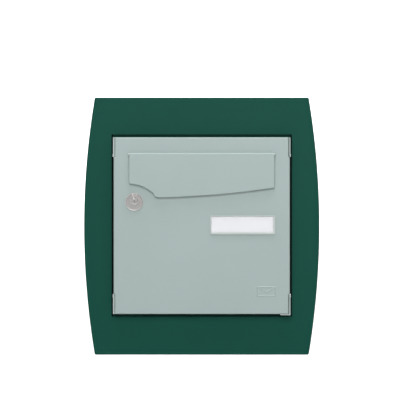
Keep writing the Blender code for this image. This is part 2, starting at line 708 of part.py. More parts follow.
def flap_ear_span():
    """The thickness of each flap bracket's ear in X, just outside the flap's end."""
    near = FLAP_HALF_WIDTH + GAP
    return near, near + BRACKET_THICK


def make_flap_hinge(paints, axis):
    near, far = flap_ear_span()
    foot_front = DOOR_SKIN_REAR + GAP
    for side_name, side in SIDES.items():
        ends = sorted((side * near, side * far))
        ear = [(foot_front + BRACKET_THICK, EAR_LOW), (FLAP_FRONT + 0.4, EAR_LOW)]
        ear += [(FLAP_FRONT + 0.4, EAR_HIGH - 1), (FLAP_FRONT + 1.4, EAR_HIGH)]
        ear += [(foot_front + BRACKET_THICK, EAR_HIGH)]
        bracket = plate([Vector(p) for p in ear], *ends, "X")
        node = make_node(f"flap_bracket_{side_name}", bracket, paints["lug"], axis)
        foot_ends = sorted((side * far, side * (near - 5)))
        foot_rear = foot_front + BRACKET_THICK
        foot = block((foot_ends[0], foot_front, EAR_LOW), (foot_ends[1], foot_rear, EAR_HIGH))
        combine(node, foot, "UNION")
        centre = (side * near, FLAP_AXIS_Y, FLAP_AXIS_Z)
        combine(node, bore(ROD_RADIUS + GAP, (side, 0, 0), centre), "DIFFERENCE")
    length = far + 0.5
    pivot = aimed(rod(ROD_RADIUS, -length, length, 12), (1, 0, 0), (0, FLAP_AXIS_Y, FLAP_AXIS_Z))
    make_node("flap_rod", pivot, paints["zinc"], axis)


# ---------------------------------------------------------------- flap body


def flap_bulge(z):
    """How far the flap's face stands forward of its top edge: it leaves it sloping and ends upright."""
    down = min(max((FLAP_AXIS_Z - z) / (FLAP_AXIS_Z - FLAP_LOWEST_Z), 0.0), 1.0)
    return FLAP_BULGE * (1 - (1 - down) ** 2)


def bulge_forward(bm, deepest):
    """Bends a flat flap to its bulge, in level strips, moving what lies in front of a depth."""
    strips = 6
    levels = [FLAP_LOWEST_Z + (FLAP_AXIS_Z - FLAP_LOWEST_Z) * i / strips for i in range(strips + 1)]
    for level in levels[1:-1]:
        geometry = list(bm.verts) + list(bm.edges) + list(bm.faces)
        bmesh.ops.bisect_plane(bm, geom=geometry, plane_co=(0, 0, level), plane_no=(0, 0, 1))
    for vertex in bm.verts:
        if vertex.co.y > deepest:
            continue
        share = (vertex.co.z - levels[0]) / (levels[1] - levels[0])
        strip = min(max(math.floor(share), 0), strips - 1)
        low, high = flap_bulge(levels[strip]), flap_bulge(levels[strip + 1])
        vertex.co.y -= low + (high - low) * (share - strip)
    return bm


def make_flap(paints, axis):
    outline = flap_outline()
    bend = 1.0
    pan = rounded_front(outline, FLAP_FRONT, bend, 2)
    pan += [(outline, FLAP_REAR), (inset(outline, FLAP_SHEET), FLAP_REAR)]
    pan += [(inset(outline, FLAP_SHEET), FLAP_FRONT + FLAP_SHEET)]
    solid = bulge_forward(skin(pan), FLAP_FRONT + FLAP_SHEET + 0.1)
    node = make_node("flap", solid, paints["grey"], axis)
    width = FLAP_HALF_WIDTH
    centre = (0, FLAP_AXIS_Y, FLAP_AXIS_Z)
    combine(node, aimed(rod(BEAD_RADIUS, -width, width, 20), (1, 0, 0), centre), "UNION")
    combine(node, aimed(rod(ROD_RADIUS + GAP, -width - 1, width + 1, 12), (1, 0, 0), centre), "DIFFERENCE")


def make_flap_pads(paints, axis):
    for side_name, x, z in (("left", -60.0, 58.0), ("right", 100.0, 66.5)):
        front = FLAP_FRONT - flap_bulge(z) + FLAP_SHEET + GAP
        pad = aimed(rod(3.0, front, DOOR_FRONT - GAP, 12), (0, 1, 0), (x, 0, z))
        make_node(f"flap_pad_{side_name}", pad, paints["rubber"], axis)


# ---------------------------------------------------------------- plug body


def lock_square(half, start, end):
    return block((LOCK_X - half, start, LOCK_Z - half), (LOCK_X + half, end, LOCK_Z + half))


def make_plug(paints, axis):
    centre = (LOCK_X, 0, LOCK_Z)
    front = DOOR_FRONT - 2.2
    shoulder = CAM_FRONT - GAP
    body = aimed(rod(PLUG_RADIUS, front, shoulder), (0, 1, 0), centre)
    node = make_node("lock_plug", body, paints["chrome"], axis)
    combine(node, lock_square(SQUARE_HALF, shoulder - 2, CAM_FRONT + CAM_THICK), "UNION")
    keyway = block((LOCK_X - 0.8, front - 1, LOCK_Z - 3.4), (LOCK_X + 0.8, front + 9, LOCK_Z + 3.4))
    thread = aimed(rod(1.8, CAM_FRONT - 6, CAM_FRONT + 5, 12), (0, 1, 0), centre)
    combine(node, joined(keyway, thread), "DIFFERENCE")

    tip_half = CAM_HALF_WIDTH * 0.8
    tip_z = LOCK_Z - CAM_REACH
    outline = arc((LOCK_X, LOCK_Z), CAM_HALF_WIDTH, 0, 180, 8)
    outline += [Vector((LOCK_X - tip_half, tip_z)), Vector((LOCK_X + tip_half, tip_z))]
    cam = make_node("lock_cam", plate(outline, CAM_FRONT, CAM_FRONT + CAM_THICK), paints["zinc"], axis)
    combine(cam, lock_square(SQUARE_HALF + GAP, CAM_FRONT - 1, CAM_FRONT + CAM_THICK + 1), "DIFFERENCE")
    seat = CAM_FRONT + CAM_THICK + GAP
    screw = [(0, CAM_FRONT - 5), (1.5, CAM_FRONT - 5), (1.5, seat), (4.2, seat), (4.2, seat + 1.4)]
    screw += [(3, seat + 2.2), (0, seat + 2.2)]
    make_node("cam_screw", aimed(turned(screw, 12), (0, 1, 0), centre), paints["zinc"], axis)


def main():
    for old in list(bpy.data.objects):
        bpy.data.objects.remove(old)
    paints = palette()
    make_surround(paints)
    make_casing(paints)
    make_back(paints)
    for side_name, side in SIDES.items():
        make_rivet(f"chute_rivet_{side_name}", side, CHUTE_RIVET_Y, CHUTE_RIVET_Z, paints)
        for level_name, level in LEVELS.items():
            rear = CASING_REAR - BACK_FLANGE / 2
            make_rivet(f"back_rivet_{level_name}_{side_name}", side, rear, level * BACK_RIVET_Z, paints)
    make_lugs(paints)
    make_hinge_hardware(paints)
    make_strike(paints)
    make_chute(paints)
    make_fence_clamp(paints)
    make_door_buffers(paints)

    door_axis = make_axis("door_axis", (HINGE_X, HINGE_Y, 0))
    make_door(paints, door_axis)
    make_hinge_bearings(paints, door_axis)
    make_lock(paints, door_axis)
    make_name_plate(paints, door_axis)
    make_flap_hinge(paints, door_axis)

    flap_axis = make_axis("flap_axis", (0, FLAP_AXIS_Y, FLAP_AXIS_Z), door_axis)
    make_flap(paints, flap_axis)
    make_flap_pads(paints, flap_axis)

    plug_axis = make_axis("plug_axis", (LOCK_X, DOOR_FRONT, LOCK_Z), door_axis)
    make_plug(paints, plug_axis)


main()
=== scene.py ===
"""Finished looks for the letter box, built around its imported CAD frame.

Lengths are in millimetres here, and add_piece turns them into metres.
"""

import json
import math

import bmesh
import bpy
from mathutils import Matrix, Vector


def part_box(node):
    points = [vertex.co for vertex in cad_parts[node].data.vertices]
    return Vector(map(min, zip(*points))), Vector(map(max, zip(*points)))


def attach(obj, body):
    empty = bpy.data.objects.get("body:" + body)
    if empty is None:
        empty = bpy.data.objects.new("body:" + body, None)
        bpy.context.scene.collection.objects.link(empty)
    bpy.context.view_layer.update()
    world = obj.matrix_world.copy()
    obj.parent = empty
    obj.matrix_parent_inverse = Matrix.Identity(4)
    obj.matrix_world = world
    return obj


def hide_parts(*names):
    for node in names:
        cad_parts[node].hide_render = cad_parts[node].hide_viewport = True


TO_METRES = 0.001
SHARP_EDGE = math.radians(32)
GAP = 0.3
SIDES = {"left": -1, "right": 1}
LEVELS = {"lower": -1, "upper": 1}
PLACES = [(level, side) for level in LEVELS for side in SIDES]
RIVETS = [f"chute_rivet_{side}" for side in SIDES] + [f"back_rivet_{level}_{side}" for level, side in PLACES]

# Sizes that the boxes of the CAD nodes don't give. SLOT is (left, right, low, high).
SURROUND_END_WIDTH = 341.0
SURROUND_CORNER = 3.0
OPENING = (287.0, 290.0)
LEDGE_FRONT = -9.5
LUG_STEP = 1.9
LUG_INNER_X = {"left": 137.8, "right": 138.4}
LUG_OUTER_X = 140.3
BRACKET_LEG_HALF_HEIGHT = 109.4
BRACKET_STEP_X = 141.5
SLOT = (-110.0, 110.0, 72.0, 104.0)
LOCK = Vector((-106.5, 40.5))
LOCK_SPOT = (LOCK.x, 0, LOCK.y)
ROSETTE_Z = 37.6
FLAP_LEFT_LOW = 66.0
FLAP_LOWEST_X = -67.8
FLAP_RIGHT_LOW = 60.0
FLAP_BULGE = 0.4
FLAP_AXIS = (-31.45, 112.75)
BEAD_RADIUS = 2.15

# Radii of pins, rods and screws, and of the holes that they go through
HINGE_PIN, HINGE_BORE = 1.75, 2.05
FLAP_ROD, FLAP_BORE = 1.25, 1.55
STUD, STUD_HOLE = 3.0, 3.3
SCREW, SCREW_HOLE = 2.4, 2.7
RIVET, RIVET_HOLE = 1.6, 1.9
BARREL, BARREL_HOLE = 7.0, 7.3
PLUG_RADIUS, PLUG_BORE = 5.0, 5.3
LATHE_PITCH = 0.00035  # in metres, the rings on turned metal

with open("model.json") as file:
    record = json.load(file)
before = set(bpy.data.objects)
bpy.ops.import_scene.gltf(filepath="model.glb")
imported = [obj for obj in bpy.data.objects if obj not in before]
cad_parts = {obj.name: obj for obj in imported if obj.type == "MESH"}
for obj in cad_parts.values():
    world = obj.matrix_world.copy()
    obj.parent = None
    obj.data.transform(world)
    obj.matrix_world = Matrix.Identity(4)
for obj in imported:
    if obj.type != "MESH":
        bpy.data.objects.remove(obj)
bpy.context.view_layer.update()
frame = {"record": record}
record = frame["record"]
SLOT_OF = {part["node"]: part["material_slot"] for part in record["subparts"]}
BODY_OF = {node: body for body, nodes in record["behaviour"]["bodies"].items() for node in nodes}


def box_of(node):
    """A CAD node's lowest and highest corners, in millimetres."""
    low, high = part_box(node)
    return low / TO_METRES, high / TO_METRES


def centre_of(node):
    low, high = box_of(node)
    return (low + high) / 2


# -------- outlines


def rectangle(left, right, low, high):
    return [Vector((left, low)), Vector((right, low)), Vector((right, high)), Vector((left, high))]


def arc(centre, radius, start_deg, end_deg, steps):
    angles = [math.radians(start_deg + (end_deg - start_deg) * i / steps) for i in range(steps + 1)]
    return [Vector((centre[0] + radius * math.cos(a), centre[1] + radius * math.sin(a))) for a in angles]


def rounded(points, radius, steps=4, closed=True):
    """The line with its corners rounded. A radius may be one number, or one for each point."""
    points = [Vector(p) for p in points]
    count = len(points)
    radii = radius if isinstance(radius, (list, tuple)) else [radius] * count
    result = []
    for i, here in enumerate(points):
        at_end = not closed and i in (0, count - 1)
        if at_end or radii[i] <= 0:
            result.append(here)
            continue
        back = points[i - 1] - here
        on = points[(i + 1) % count] - here
        turn = math.pi - back.angle(on)
        if turn < 0.02:
            result.append(here)
            continue
        reach = min(radii[i] * math.tan(turn / 2), 0.48 * back.length, 0.48 * on.length)
        size = reach / math.tan(turn / 2)
        middle = here + (back.normalized() + on.normalized()).normalized() * size / math.cos(turn / 2)
        spoke = here + back.normalized() * reach - middle
        way = 1 if on.cross(back) > 0 else -1
        for k in range(steps + 1):
            angle = way * turn * k / steps
            cosine, sine = math.cos(angle), math.sin(angle)
            turned_spoke = (spoke.x * cosine - spoke.y * sine, spoke.x * sine + spoke.y * cosine)
            result.append(middle + Vector(turned_spoke))
    return result


def turns_left(outline):
    return sum(a.cross(b) for a, b in zip(outline, outline[1:] + outline[:1])) > 0


def inset(outline, distance):
    """The outline moved inwards. Its points run anticlockwise."""
    moved = []
    for before, here, after in zip(outline[-1:] + outline[:-1], outline, outline[1:] + outline[:1]):
        into = (here - before).normalized()
        onward = (after - here).normalized()
        left_in = Vector((-into.y, into.x))
        left_on = Vector((-onward.y, onward.x))
        moved.append(here + (left_in + left_on) * distance / (1 + left_in.dot(left_on)))
    return moved


def corner_ring(corners, radii, steps=6):
    """A function that gives the rounded outline of sharp corners, moved inwards by a distance."""
    corners = [Vector(p) for p in corners]
    radii = list(radii) if isinstance(radii, (list, tuple)) else [radii] * len(corners)
    if not turns_left(corners):
        corners.reverse()
        radii.reverse()

    def ring(distance=0.0):
        sizes = []
        for i, radius in enumerate(radii):
            into = corners[i] - corners[i - 1]
            onward = corners[(i + 1) % len(corners)] - corners[i]
            size = radius - distance if into.cross(onward) > 0 else radius + distance
            sizes.append(max(size, 0.06))
        return rounded(inset(corners, distance), sizes, steps)

    return ring


def bend_loops(ring, start, radius, steps, inwards_first):
    """Loops round a quarter bend that begins at depth start and runs towards +Y.

    One more loop lies in the flat beside the bend, so that the flat keeps its own shading.
    """
    rim = ring(radius + 0.05)
    loops = [(rim, start)] if inwards_first else []
    for i in range(steps + 1):
        angle = math.pi / 2 * i / steps
        if inwards_first:
            loops.append((ring(radius * (1 - math.sin(angle))), start + radius * (1 - math.cos(angle))))
        else:
            loops.append((ring(radius * (1 - math.cos(angle))), start + radius * math.sin(angle)))
    if not inwards_first:
        loops.append((rim, start + radius))
    return loops


# -------- solids


def bridged(bm, rings, closed=False):
    """Faces from each ring of vertices to the next, and from the last to the first if closed."""
    for here, beyond in zip(rings, rings[1:] + (rings[:1] if closed else [])):
        for i in range(len(here)):
            j = (i + 1) % len(here)
            corners = list(dict.fromkeys((here[i], here[j], beyond[j], beyond[i])))
            if len(corners) > 2:
                bm.faces.new(corners)
    bmesh.ops.recalc_face_normals(bm, faces=bm.faces)
    return bm


def skin(loops, capped=True):
    """A solid from outlines in X and Z at given Y, each joined to the next."""
    bm = bmesh.new()
    rings = [[bm.verts.new((x, y, z)) for x, z in outline] for outline, y in loops]
    if capped:
        bm.faces.new(rings[0])
        bm.faces.new(rings[-1])
    return bridged(bm, rings, closed=not capped)


def plate(outline, start, end, along="Y", edge=0.0):
    """A flat plate from an outline or a ring, thick along one axis, its edges rounded by a radius.

    The outline is in X and Z along Y, in X and Y along Z, and in Y and Z along X.
    """
    if callable(outline):
        ring = outline
    else:
        points = [Vector(p) for p in outline]
        if not turns_left(points):
            points.reverse()

        def ring(distance):
            return inset(points, distance) if distance else points

    if edge:
        loops = bend_loops(ring, start, edge, 3, True) + bend_loops(ring, end - edge, edge, 3, False)
    else:
        loops = [(ring(0.0), start), (ring(0.0), end)]
    bm = skin(loops)
    turn = {
        "Y": Matrix.Identity(4),
        "Z": Matrix(((1, 0, 0, 0), (0, 0, 1, 0), (0, 1, 0, 0), (0, 0, 0, 1))),
        "X": Matrix(((0, 1, 0, 0), (1, 0, 0, 0), (0, 0, 1, 0), (0, 0, 0, 1))),
    }[along]
    bmesh.ops.transform(bm, matrix=turn, verts=bm.verts)
    bmesh.ops.recalc_face_normals(bm, faces=bm.faces)
    return bm


def block(low, high):
    return plate(rectangle(low[0], high[0], low[2], high[2]), low[1], high[1])


def turned(profile, sides=48, edge=0.0, steps=4):
    """A solid turned about Z from (radius, height) points, its corners rounded.

    It closes on the axis or on itself.
    """
    hollow = profile[0][0] > 1e-6
    if edge:
        profile = rounded(profile, edge, steps, closed=hollow)
    bm = bmesh.new()
    rings = []
    for radius, height in profile:
        if radius < 1e-6:
            rings.append([bm.verts.new((0, 0, height))] * sides)
            continue
        angles = [2 * math.pi * i / sides for i in range(sides)]
        rings.append([bm.verts.new((radius * math.cos(a), radius * math.sin(a), height)) for a in angles])
    return bridged(bm, rings, closed=hollow)


def rod(radius, start, end, edge=0.0, sides=48):
    profile = [(0, start), (radius, start), (radius, end), (0, end)]
    return turned(profile, sides, edge)


def tube(outer, inner, start, end, edge, sides=48):
    return turned([(inner, start), (outer, start), (outer, end), (inner, end)], sides, edge)


def threaded(radius, start, end, pitch, depth, sides=36):
    """A rod with a helical thread and chamfered ends."""
    steps_per_turn = 8
    rows = round((end - start) / pitch * steps_per_turn)
    bm = bmesh.new()
    rings = []
    for row in range(rows + 1):
        height = start + (end - start) * row / rows
        from_end = min(height - start, end - height)
        room = min(1.0, from_end / pitch)
        ring = []
        for i in range(sides):
            angle = 2 * math.pi * i / sides
            phase = (height / pitch - i / sides) % 1.0
            groove = abs(2 * phase - 1)
            r = radius - depth * (groove * room + (1 - room))
            ring.append(bm.verts.new((r * math.cos(angle), r * math.sin(angle), height)))
        rings.append(ring)
    bm.faces.new(rings[0])
    bm.faces.new(rings[-1])
    return bridged(bm, rings)


def aimed(bm, axis, at):
    """Turns a solid's Z axis to the given direction and moves it there."""
    turn = Vector((0, 0, 1)).rotation_difference(Vector(axis)).to_matrix().to_4x4()
    bmesh.ops.transform(bm, matrix=Matrix.Translation(at) @ turn, verts=bm.verts)
    return bm


def combined(bm, solid, operation):
    """What a Boolean operation makes of two solids: "UNION", "DIFFERENCE" or "INTERSECT"."""
    objects = []
    for part in (bm, solid):
        mesh = bpy.data.meshes.new("work")
        part.to_mesh(mesh)
        part.free()
        objects.append(bpy.data.objects.new("work", mesh))
        bpy.context.scene.collection.objects.link(objects[-1])
    modifier = objects[0].modifiers.new("work", "BOOLEAN")
    modifier.operation = operation
    modifier.solver = "EXACT"
    modifier.object = objects[1]
    graph = bpy.context.evaluated_depsgraph_get()
    result = bmesh.new()
    result.from_mesh(objects[0].evaluated_get(graph).to_mesh())
    objects[0].evaluated_get(graph).to_mesh_clear()
    for obj in objects:
        mesh = obj.data
        bpy.data.objects.remove(obj)
        bpy.data.meshes.remove(mesh)
    return result


def gathered(solids):
    """Several separate solids as one mesh."""
    bm = bmesh.new()
    for solid in solids:
        mesh = bpy.data.meshes.new("work")
        solid.to_mesh(mesh)
        solid.free()
        bm.from_mesh(mesh)
        bpy.data.meshes.remove(mesh)
    return bm


def cut(bm, *solids):
    return combined(bm, gathered(solids), "DIFFERENCE")


def joined(bm, solid):
    return combined(bm, solid, "UNION")


def bore(radius, axis, at, reach=6.0, sides=40):
    return aimed(rod(radius, -reach, reach, sides=sides), axis, at)


def mesh_object(name, bm, material):
    mesh = bpy.data.meshes.new(name)
    bm.to_mesh(mesh)
    bm.free()
    mesh.materials.append(material)
    mesh.shade_smooth()
    obj = bpy.data.objects.new(name, mesh)
    bpy.context.scene.collection.objects.link(obj)
    return obj


def add_piece(name, bm, material, *nodes):
    """Makes the named piece in metres, rides it on a body, and lets it stand for CAD nodes."""
    body, slot = BODY_OF[nodes[0]], SLOT_OF[nodes[0]]
    bmesh.ops.scale(bm, vec=(TO_METRES,) * 3, verts=bm.verts)
    bmesh.ops.remove_doubles(bm, verts=bm.verts, dist=1e-7)
    piece = mesh_object(name, bm, material)
    piece.data.set_sharp_from_angle(angle=SHARP_EDGE)
    weighting = piece.modifiers.new("Even flats", "WEIGHTED_NORMAL")
    weighting.keep_sharp = True
    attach(piece, body)
    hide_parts(*nodes)
    return piece


# -------- materials


class Nodes:
    """A small helper for building one material's nodes."""

    def __init__(self, name):
        self.material = bpy.data.materials.new(name)
        self.material.use_nodes = True
        self.tree = self.material.node_tree
        self.shader = self.tree.nodes["Principled BSDF"]
        self.place = self.add("ShaderNodeTexCoord").outputs["Object"]

    def feed(self, socket, value):
        """Links a node's output to a socket, or sets a number, a colour (a tuple) or a Vector on it."""
        if isinstance(value, bpy.types.NodeSocket):
            self.tree.links.new(value, socket)
        elif isinstance(value, tuple):
            socket.default_value = (*value, 1.0)
        else:
            socket.default_value = value

    def add(self, kind, inputs=None, **settings):
        node = self.tree.nodes.new(kind)
        for key, value in settings.items():
            setattr(node, key, value)
        for key, value in (inputs or {}).items():
            self.feed(node.inputs[key], value)
        return node

    def vector_math(self, operation, *values):
        return self.add("ShaderNodeVectorMath", dict(enumerate(values)), operation=operation).outputs

    def stretched(self, scale):
        inputs = {"Vector": self.place, "Scale": Vector(scale)}
        return self.add("ShaderNodeMapping", inputs).outputs["Vector"]

    def noise(self, scale, detail=3.0, roughness=0.5, vector=None):
        inputs = {"Scale": scale, "Detail": detail, "Roughness": roughness, "Vector": vector or self.place}
        return self.add("ShaderNodeTexNoise", inputs).outputs["Fac"]

    def spread(self, value, low=0.0, high=1.0, from_low=0.3, from_high=0.7):
        inputs = {"Value": value, "From Min": from_low, "From Max": from_high, "To Min": low, "To Max": high}
        return self.add("ShaderNodeMapRange", inputs).outputs["Result"]

    def mix(self, amount, first, second):
        inputs = {"Factor": amount, "A": first, "B": second}
        return self.add("ShaderNodeMix", inputs, data_type="RGBA").outputs["Result"]

    def bump(self, height, distance):
        return self.add("ShaderNodeBump", {"Distance": distance, "Height": height}).outputs["Normal"]

    def set(self, **values):
        for key, value in values.items():
            self.feed(self.shader.inputs[key.replace("_", " ")], value)


def shades(colour, darker, lighter):
    return tuple(c * darker for c in colour), tuple(c * lighter for c in colour)


def powder_coat(name, colour, roughness, grain=0.00002, pitch=900.0, gloss=0.5):
    """Sprayed paint: a faint mottle, fine specks and an orange-peel texture."""
    n = Nodes(name)
    dark, light = shades(colour, 0.965, 1.035)
    mottle = n.mix(n.spread(n.noise(7.0, 4.0)), dark, light)
    speck_dark, speck_light = shades(colour, 0.93, 1.06)
    specks = n.mix(n.spread(n.noise(2600.0, 2.0)), speck_dark, speck_light)
    n.set(
        Base_Color=n.mix(0.35, mottle, specks),
        Roughness=n.spread(n.noise(60.0, 5.0), roughness - 0.035, roughness + 0.035),
        Normal=n.bump(n.noise(pitch, 3.0, 0.6), grain),
        Specular_IOR_Level=gloss,
    )
    return n.material


def plated_steel(name, colour, roughness, stretch):
    """Zinc plate: soft spangle patches, a drawn grain along one direction, and slight tarnish."""
    n = Nodes(name)
    spangle = n.add("ShaderNodeTexVoronoi", {"Scale": 180.0, "Vector": n.place}, feature="F1")
    patch = n.add("ShaderNodeSeparateColor", {"Color": spangle.outputs["Color"]}).outputs["Red"]
    dark, light = shades(colour, 0.86, 1.08)
    lines = n.noise(900.0, 2.0, 0.6, n.stretched(stretch))
    tarnish = n.mix(n.spread(n.noise(35.0, 5.0, 0.65)), dark, light)
    base = n.mix(n.spread(patch, 0.0, 0.3, 0.0, 1.0), tarnish, light)
    n.set(
        Base_Color=base,
        Metallic=1.0,
        Roughness=n.spread(lines, roughness - 0.07, roughness + 0.09),
        Normal=n.bump(lines, 0.000012),
    )
    return n.material


def turned_metal(name, colour, roughness, centre, metallic, rim=None):
    """Satin metal with the fine rings of a lathe about a centre, and a painted highlight, a lighter colour,
    beyond a rim radius.
    """
    n = Nodes(name)
    offset = n.vector_math("SUBTRACT", n.place, centre)["Vector"]
    flat = n.vector_math("MULTIPLY", offset, Vector((1, 0, 1)))["Vector"]
    radius = n.vector_math("LENGTH", flat)["Value"]
    outwards = n.add("ShaderNodeCombineXYZ", {"X": radius}).outputs["Vector"]
    rings = n.noise(1.0 / LATHE_PITCH, 2.0, 0.6, outwards)
    smudge = n.noise(260.0, 4.0, 0.6)
    dark, light = shades(colour, 0.9, 1.06)
    base = n.mix(n.spread(rings), dark, light)
    if rim:
        # Painted highlight: beyond the rim radius the colour turns lighter, standing in for light on the
        # rim.
        rim_highlight = n.spread(radius, 0.0, 1.0, rim, rim + 0.0002)
        base = n.mix(rim_highlight, base, shades(colour, 1.0, 2.1)[1])
    n.set(
        Base_Color=base,
        Metallic=metallic,
        Roughness=n.spread(smudge, roughness - 0.06, roughness + 0.08),
        Normal=n.bump(rings, 0.00002),
    )
    return n.material


def moulded(name, colour, roughness, grain=0.00003, sheen=0.0):
    """Moulded plastic or rubber: a fine spark-eroded grain and slightly uneven gloss."""
    n = Nodes(name)
    dark, light = shades(colour, 0.94, 1.05)
    n.set(
        Base_Color=n.mix(n.spread(n.noise(90.0, 4.0)), dark, light),
        Roughness=n.spread(n.noise(220.0, 4.0), roughness - 0.06, roughness + 0.06),
        Normal=n.bump(n.noise(1400.0, 4.0, 0.7), grain),
        Sheen_Weight=sheen,
    )
    return n.material


def paper(name, colour):
    """Uncoated card with short fibres and a faint cloudiness."""
    n = Nodes(name)
    dark, light = shades(colour, 0.965, 1.02)
    fibres = n.noise(1500.0, 6.0, 0.7, n.stretched((0.45, 1.0, 1.0)))
    n.set(
        Base_Color=n.mix(n.spread(n.noise(140.0, 5.0, 0.65)), dark, light),
        Roughness=n.spread(fibres, 0.78, 0.92),
        Normal=n.bump(fibres, 0.000004),
    )
    return n.material


def clear_sheet(name):
    """Clear extruded plastic, thin enough that only its gloss and faint haze show."""
    n = Nodes(name)
    haze = n.noise(120.0, 4.0)
    n.set(
        Base_Color=n.mix(n.spread(haze), (0.9, 0.91, 0.92), (0.97, 0.97, 0.98)),
        Roughness=n.spread(haze, 0.06, 0.14),
        Alpha=0.12,
        Normal=n.bump(n.noise(45.0, 2.0), 0.00004),
    )
    return n.material


lock_centre = Vector(LOCK_SPOT) * TO_METRES
dish_centre = Vector((LOCK.x, 0, ROSETTE_Z)) * TO_METRES
GREEN = powder_coat("moss_green_coat", (0.0075, 0.067, 0.048), 0.4, grain=0.00003, pitch=700.0, gloss=0.07)
GREY = powder_coat("light_grey_coat", (0.349, 0.428, 0.413), 0.44)
# Painted shade: the side brackets get a green-tinted near-black coat that stands in for the deep shadow in
# the gaps beside the door.
SHADE_BLACK = powder_coat("shade_black_coat", (0.003, 0.006, 0.0055), 0.5, grain=0.00004, gloss=0.03)
LUG_GREY = moulded("grey_nylon", (0.385, 0.455, 0.44), 0.5)
ZINC = plated_steel("zinc_plate", (0.6, 0.61, 0.63), 0.36, (1.0, 1.0, 0.06))
ZINC_WIDE = plated_steel("zinc_sheet", (0.6, 0.61, 0.63), 0.36, (0.06, 1.0, 1.0))
# The rosette's rim, beyond 12.9 mm from the dish centre, gets a painted highlight.
DISH = turned_metal("satin_nickel", (0.365, 0.355, 0.35), 0.46, dish_centre, 0.5, rim=0.0129)
PLUG = turned_metal("plug_nickel", (0.385, 0.37, 0.365), 0.46, lock_centre, 0.5)
# Painted highlight: the lock sleeve is coloured much lighter than the dish, standing in for its lit lower
# arc.
RIM = turned_metal("lit_ring_nickel", (0.68, 0.66, 0.65), 0.42, lock_centre, 0.45)
# Painted highlight: the lock's marks and pointer are coloured near white to stand in for bright glints on
# the lock.
MARK = turned_metal("highlight_nickel", (0.8, 0.79, 0.78), 0.4, lock_centre, 0.2)
# Painted highlight: the name frame is coloured lighter than the door's grey to stand in for light on its
# lower lip.
FRAME = moulded("frame_plastic", (0.5, 0.55, 0.535), 0.45)
RUBBER = moulded("black_rubber", (0.022, 0.022, 0.023), 0.75, grain=0.00006, sheen=0.2)
NYLON = moulded("natural_nylon", (0.75, 0.74, 0.69), 0.45)
PAPER = paper("label_card", (0.815, 0.82, 0.85))
CLEAR = clear_sheet("clear_window")


# -------- surround


def surround_ring(low, high):
    """Straight ends, and sides that bow outwards in one long arc."""
    bow = high.x - SURROUND_END_WIDTH / 2
    middle = (low.z + high.z) / 2
    half_high = high.z - middle
    side_radius = (half_high**2 + bow**2) / (2 * bow)
    side_centre = high.x - side_radius

    def ring(distance=0.0):
        half = half_high - distance
        radius = side_radius - distance
        corner = max(SURROUND_CORNER - distance, 0.3)
        reach = math.degrees(math.asin((half - corner) / (radius - corner)))
        spot = (side_centre + (radius - corner) * math.cos(math.radians(reach)), half - corner)
        side = arc((side_centre, 0), radius, -reach, reach, 72)[1:-1]
        bend = arc(spot, corner, reach, 90, 8)
        right = [Vector((p.x, -p.y)) for p in reversed(bend)] + side + bend
        right = [Vector((p.x, p.y + middle)) for p in right]
        return right + [Vector((-p.x, p.y)) for p in reversed(right)]

    return ring


def build_surround():
    low, high = box_of("surround")
    sheet, lip, bend = 1.5, 8.0, 2.4
    fold = 1.6
    ring = surround_ring(low, high)
    loops = bend_loops(ring, low.y, bend, 10, True)
    loops += bend_loops(ring, high.y - fold, fold, 6, False)
    loops += [(ring(sheet + lip - 0.3), high.y), (ring(sheet + lip), high.y - 0.3)]
    loops += [(ring(sheet + lip), high.y - sheet), (ring(sheet), high.y - sheet)]
    loops += [(ring(sheet), low.y + bend), (ring(sheet + 1.1), low.y + sheet)]
    wide, tall = OPENING[0] / 2, OPENING[1] / 2
    hole = plate(rounded(rectangle(-wide, wide, -tall, tall), 1.0, 6), low.y - 5, low.y + 6)
    notches = []
    for side in SIDES.values():
        for level in LEVELS.values():
            slit = block((-0.25, low.y + 5, -9), (0.25, high.y + 5, 9))
            turn = Matrix.Rotation(math.radians(45 * side * level), 4, "Y")
            corner_z = high.z - 3.5 if level > 0 else low.z + 3.5
            spot = Vector((side * (SURROUND_END_WIDTH / 2 - 3.5), 0, corner_z))
            bmesh.ops.transform(slit, matrix=Matrix.Translation(spot) @ turn, verts=slit.verts)
            notches.append(slit)
    solid = cut(skin(loops), hole, *notches)
    above_lugs = box_of("door_panel")[1].z + GAP
    casing = box_of("casing_shell")[1].x
    top = tall + sheet
    rear = LEDGE_FRONT + sheet
    for level in LEVELS.values():
        step = [(low.y + sheet - 0.3, tall), (LEDGE_FRONT, tall), (LEDGE_FRONT, above_lugs)]
        step += [(rear, above_lugs), (rear, top), (low.y + sheet - 0.3, top)]
        step = corner_ring([(y, level * z) for y, z in step], [0.0, 0.3, 0.3, 0.3, 1.2, 0.0], 4)
        solid = joined(solid, plate(step, -wide - 1.5, wide + 1.5, "X"))
        edges = sorted((level * (casing + GAP), level * (above_lugs + 1.2)))
        flange = block((-casing, LEDGE_FRONT + 0.02, edges[0]), (casing, rear - 0.02, edges[1]))
        solid = joined(solid, flange)
    add_piece("surround_sheet", solid, GREEN, "surround")


# -------- casing


def wall_holes(front_to_back):
    """Cutters for the screws and rivets through both side walls, for those within a depth range."""
    cutters = []
    for name in RIVETS + [f"bracket_screw_{level}_{side}" for level, side in PLACES]:
        centre = centre_of(name)
        if front_to_back[0] < centre.y < front_to_back[1]:
            radius = SCREW_HOLE if "screw" in name else RIVET_HOLE
            cutters.append(bore(radius, (1, 0, 0), centre, reach=8.0))
    return cutters


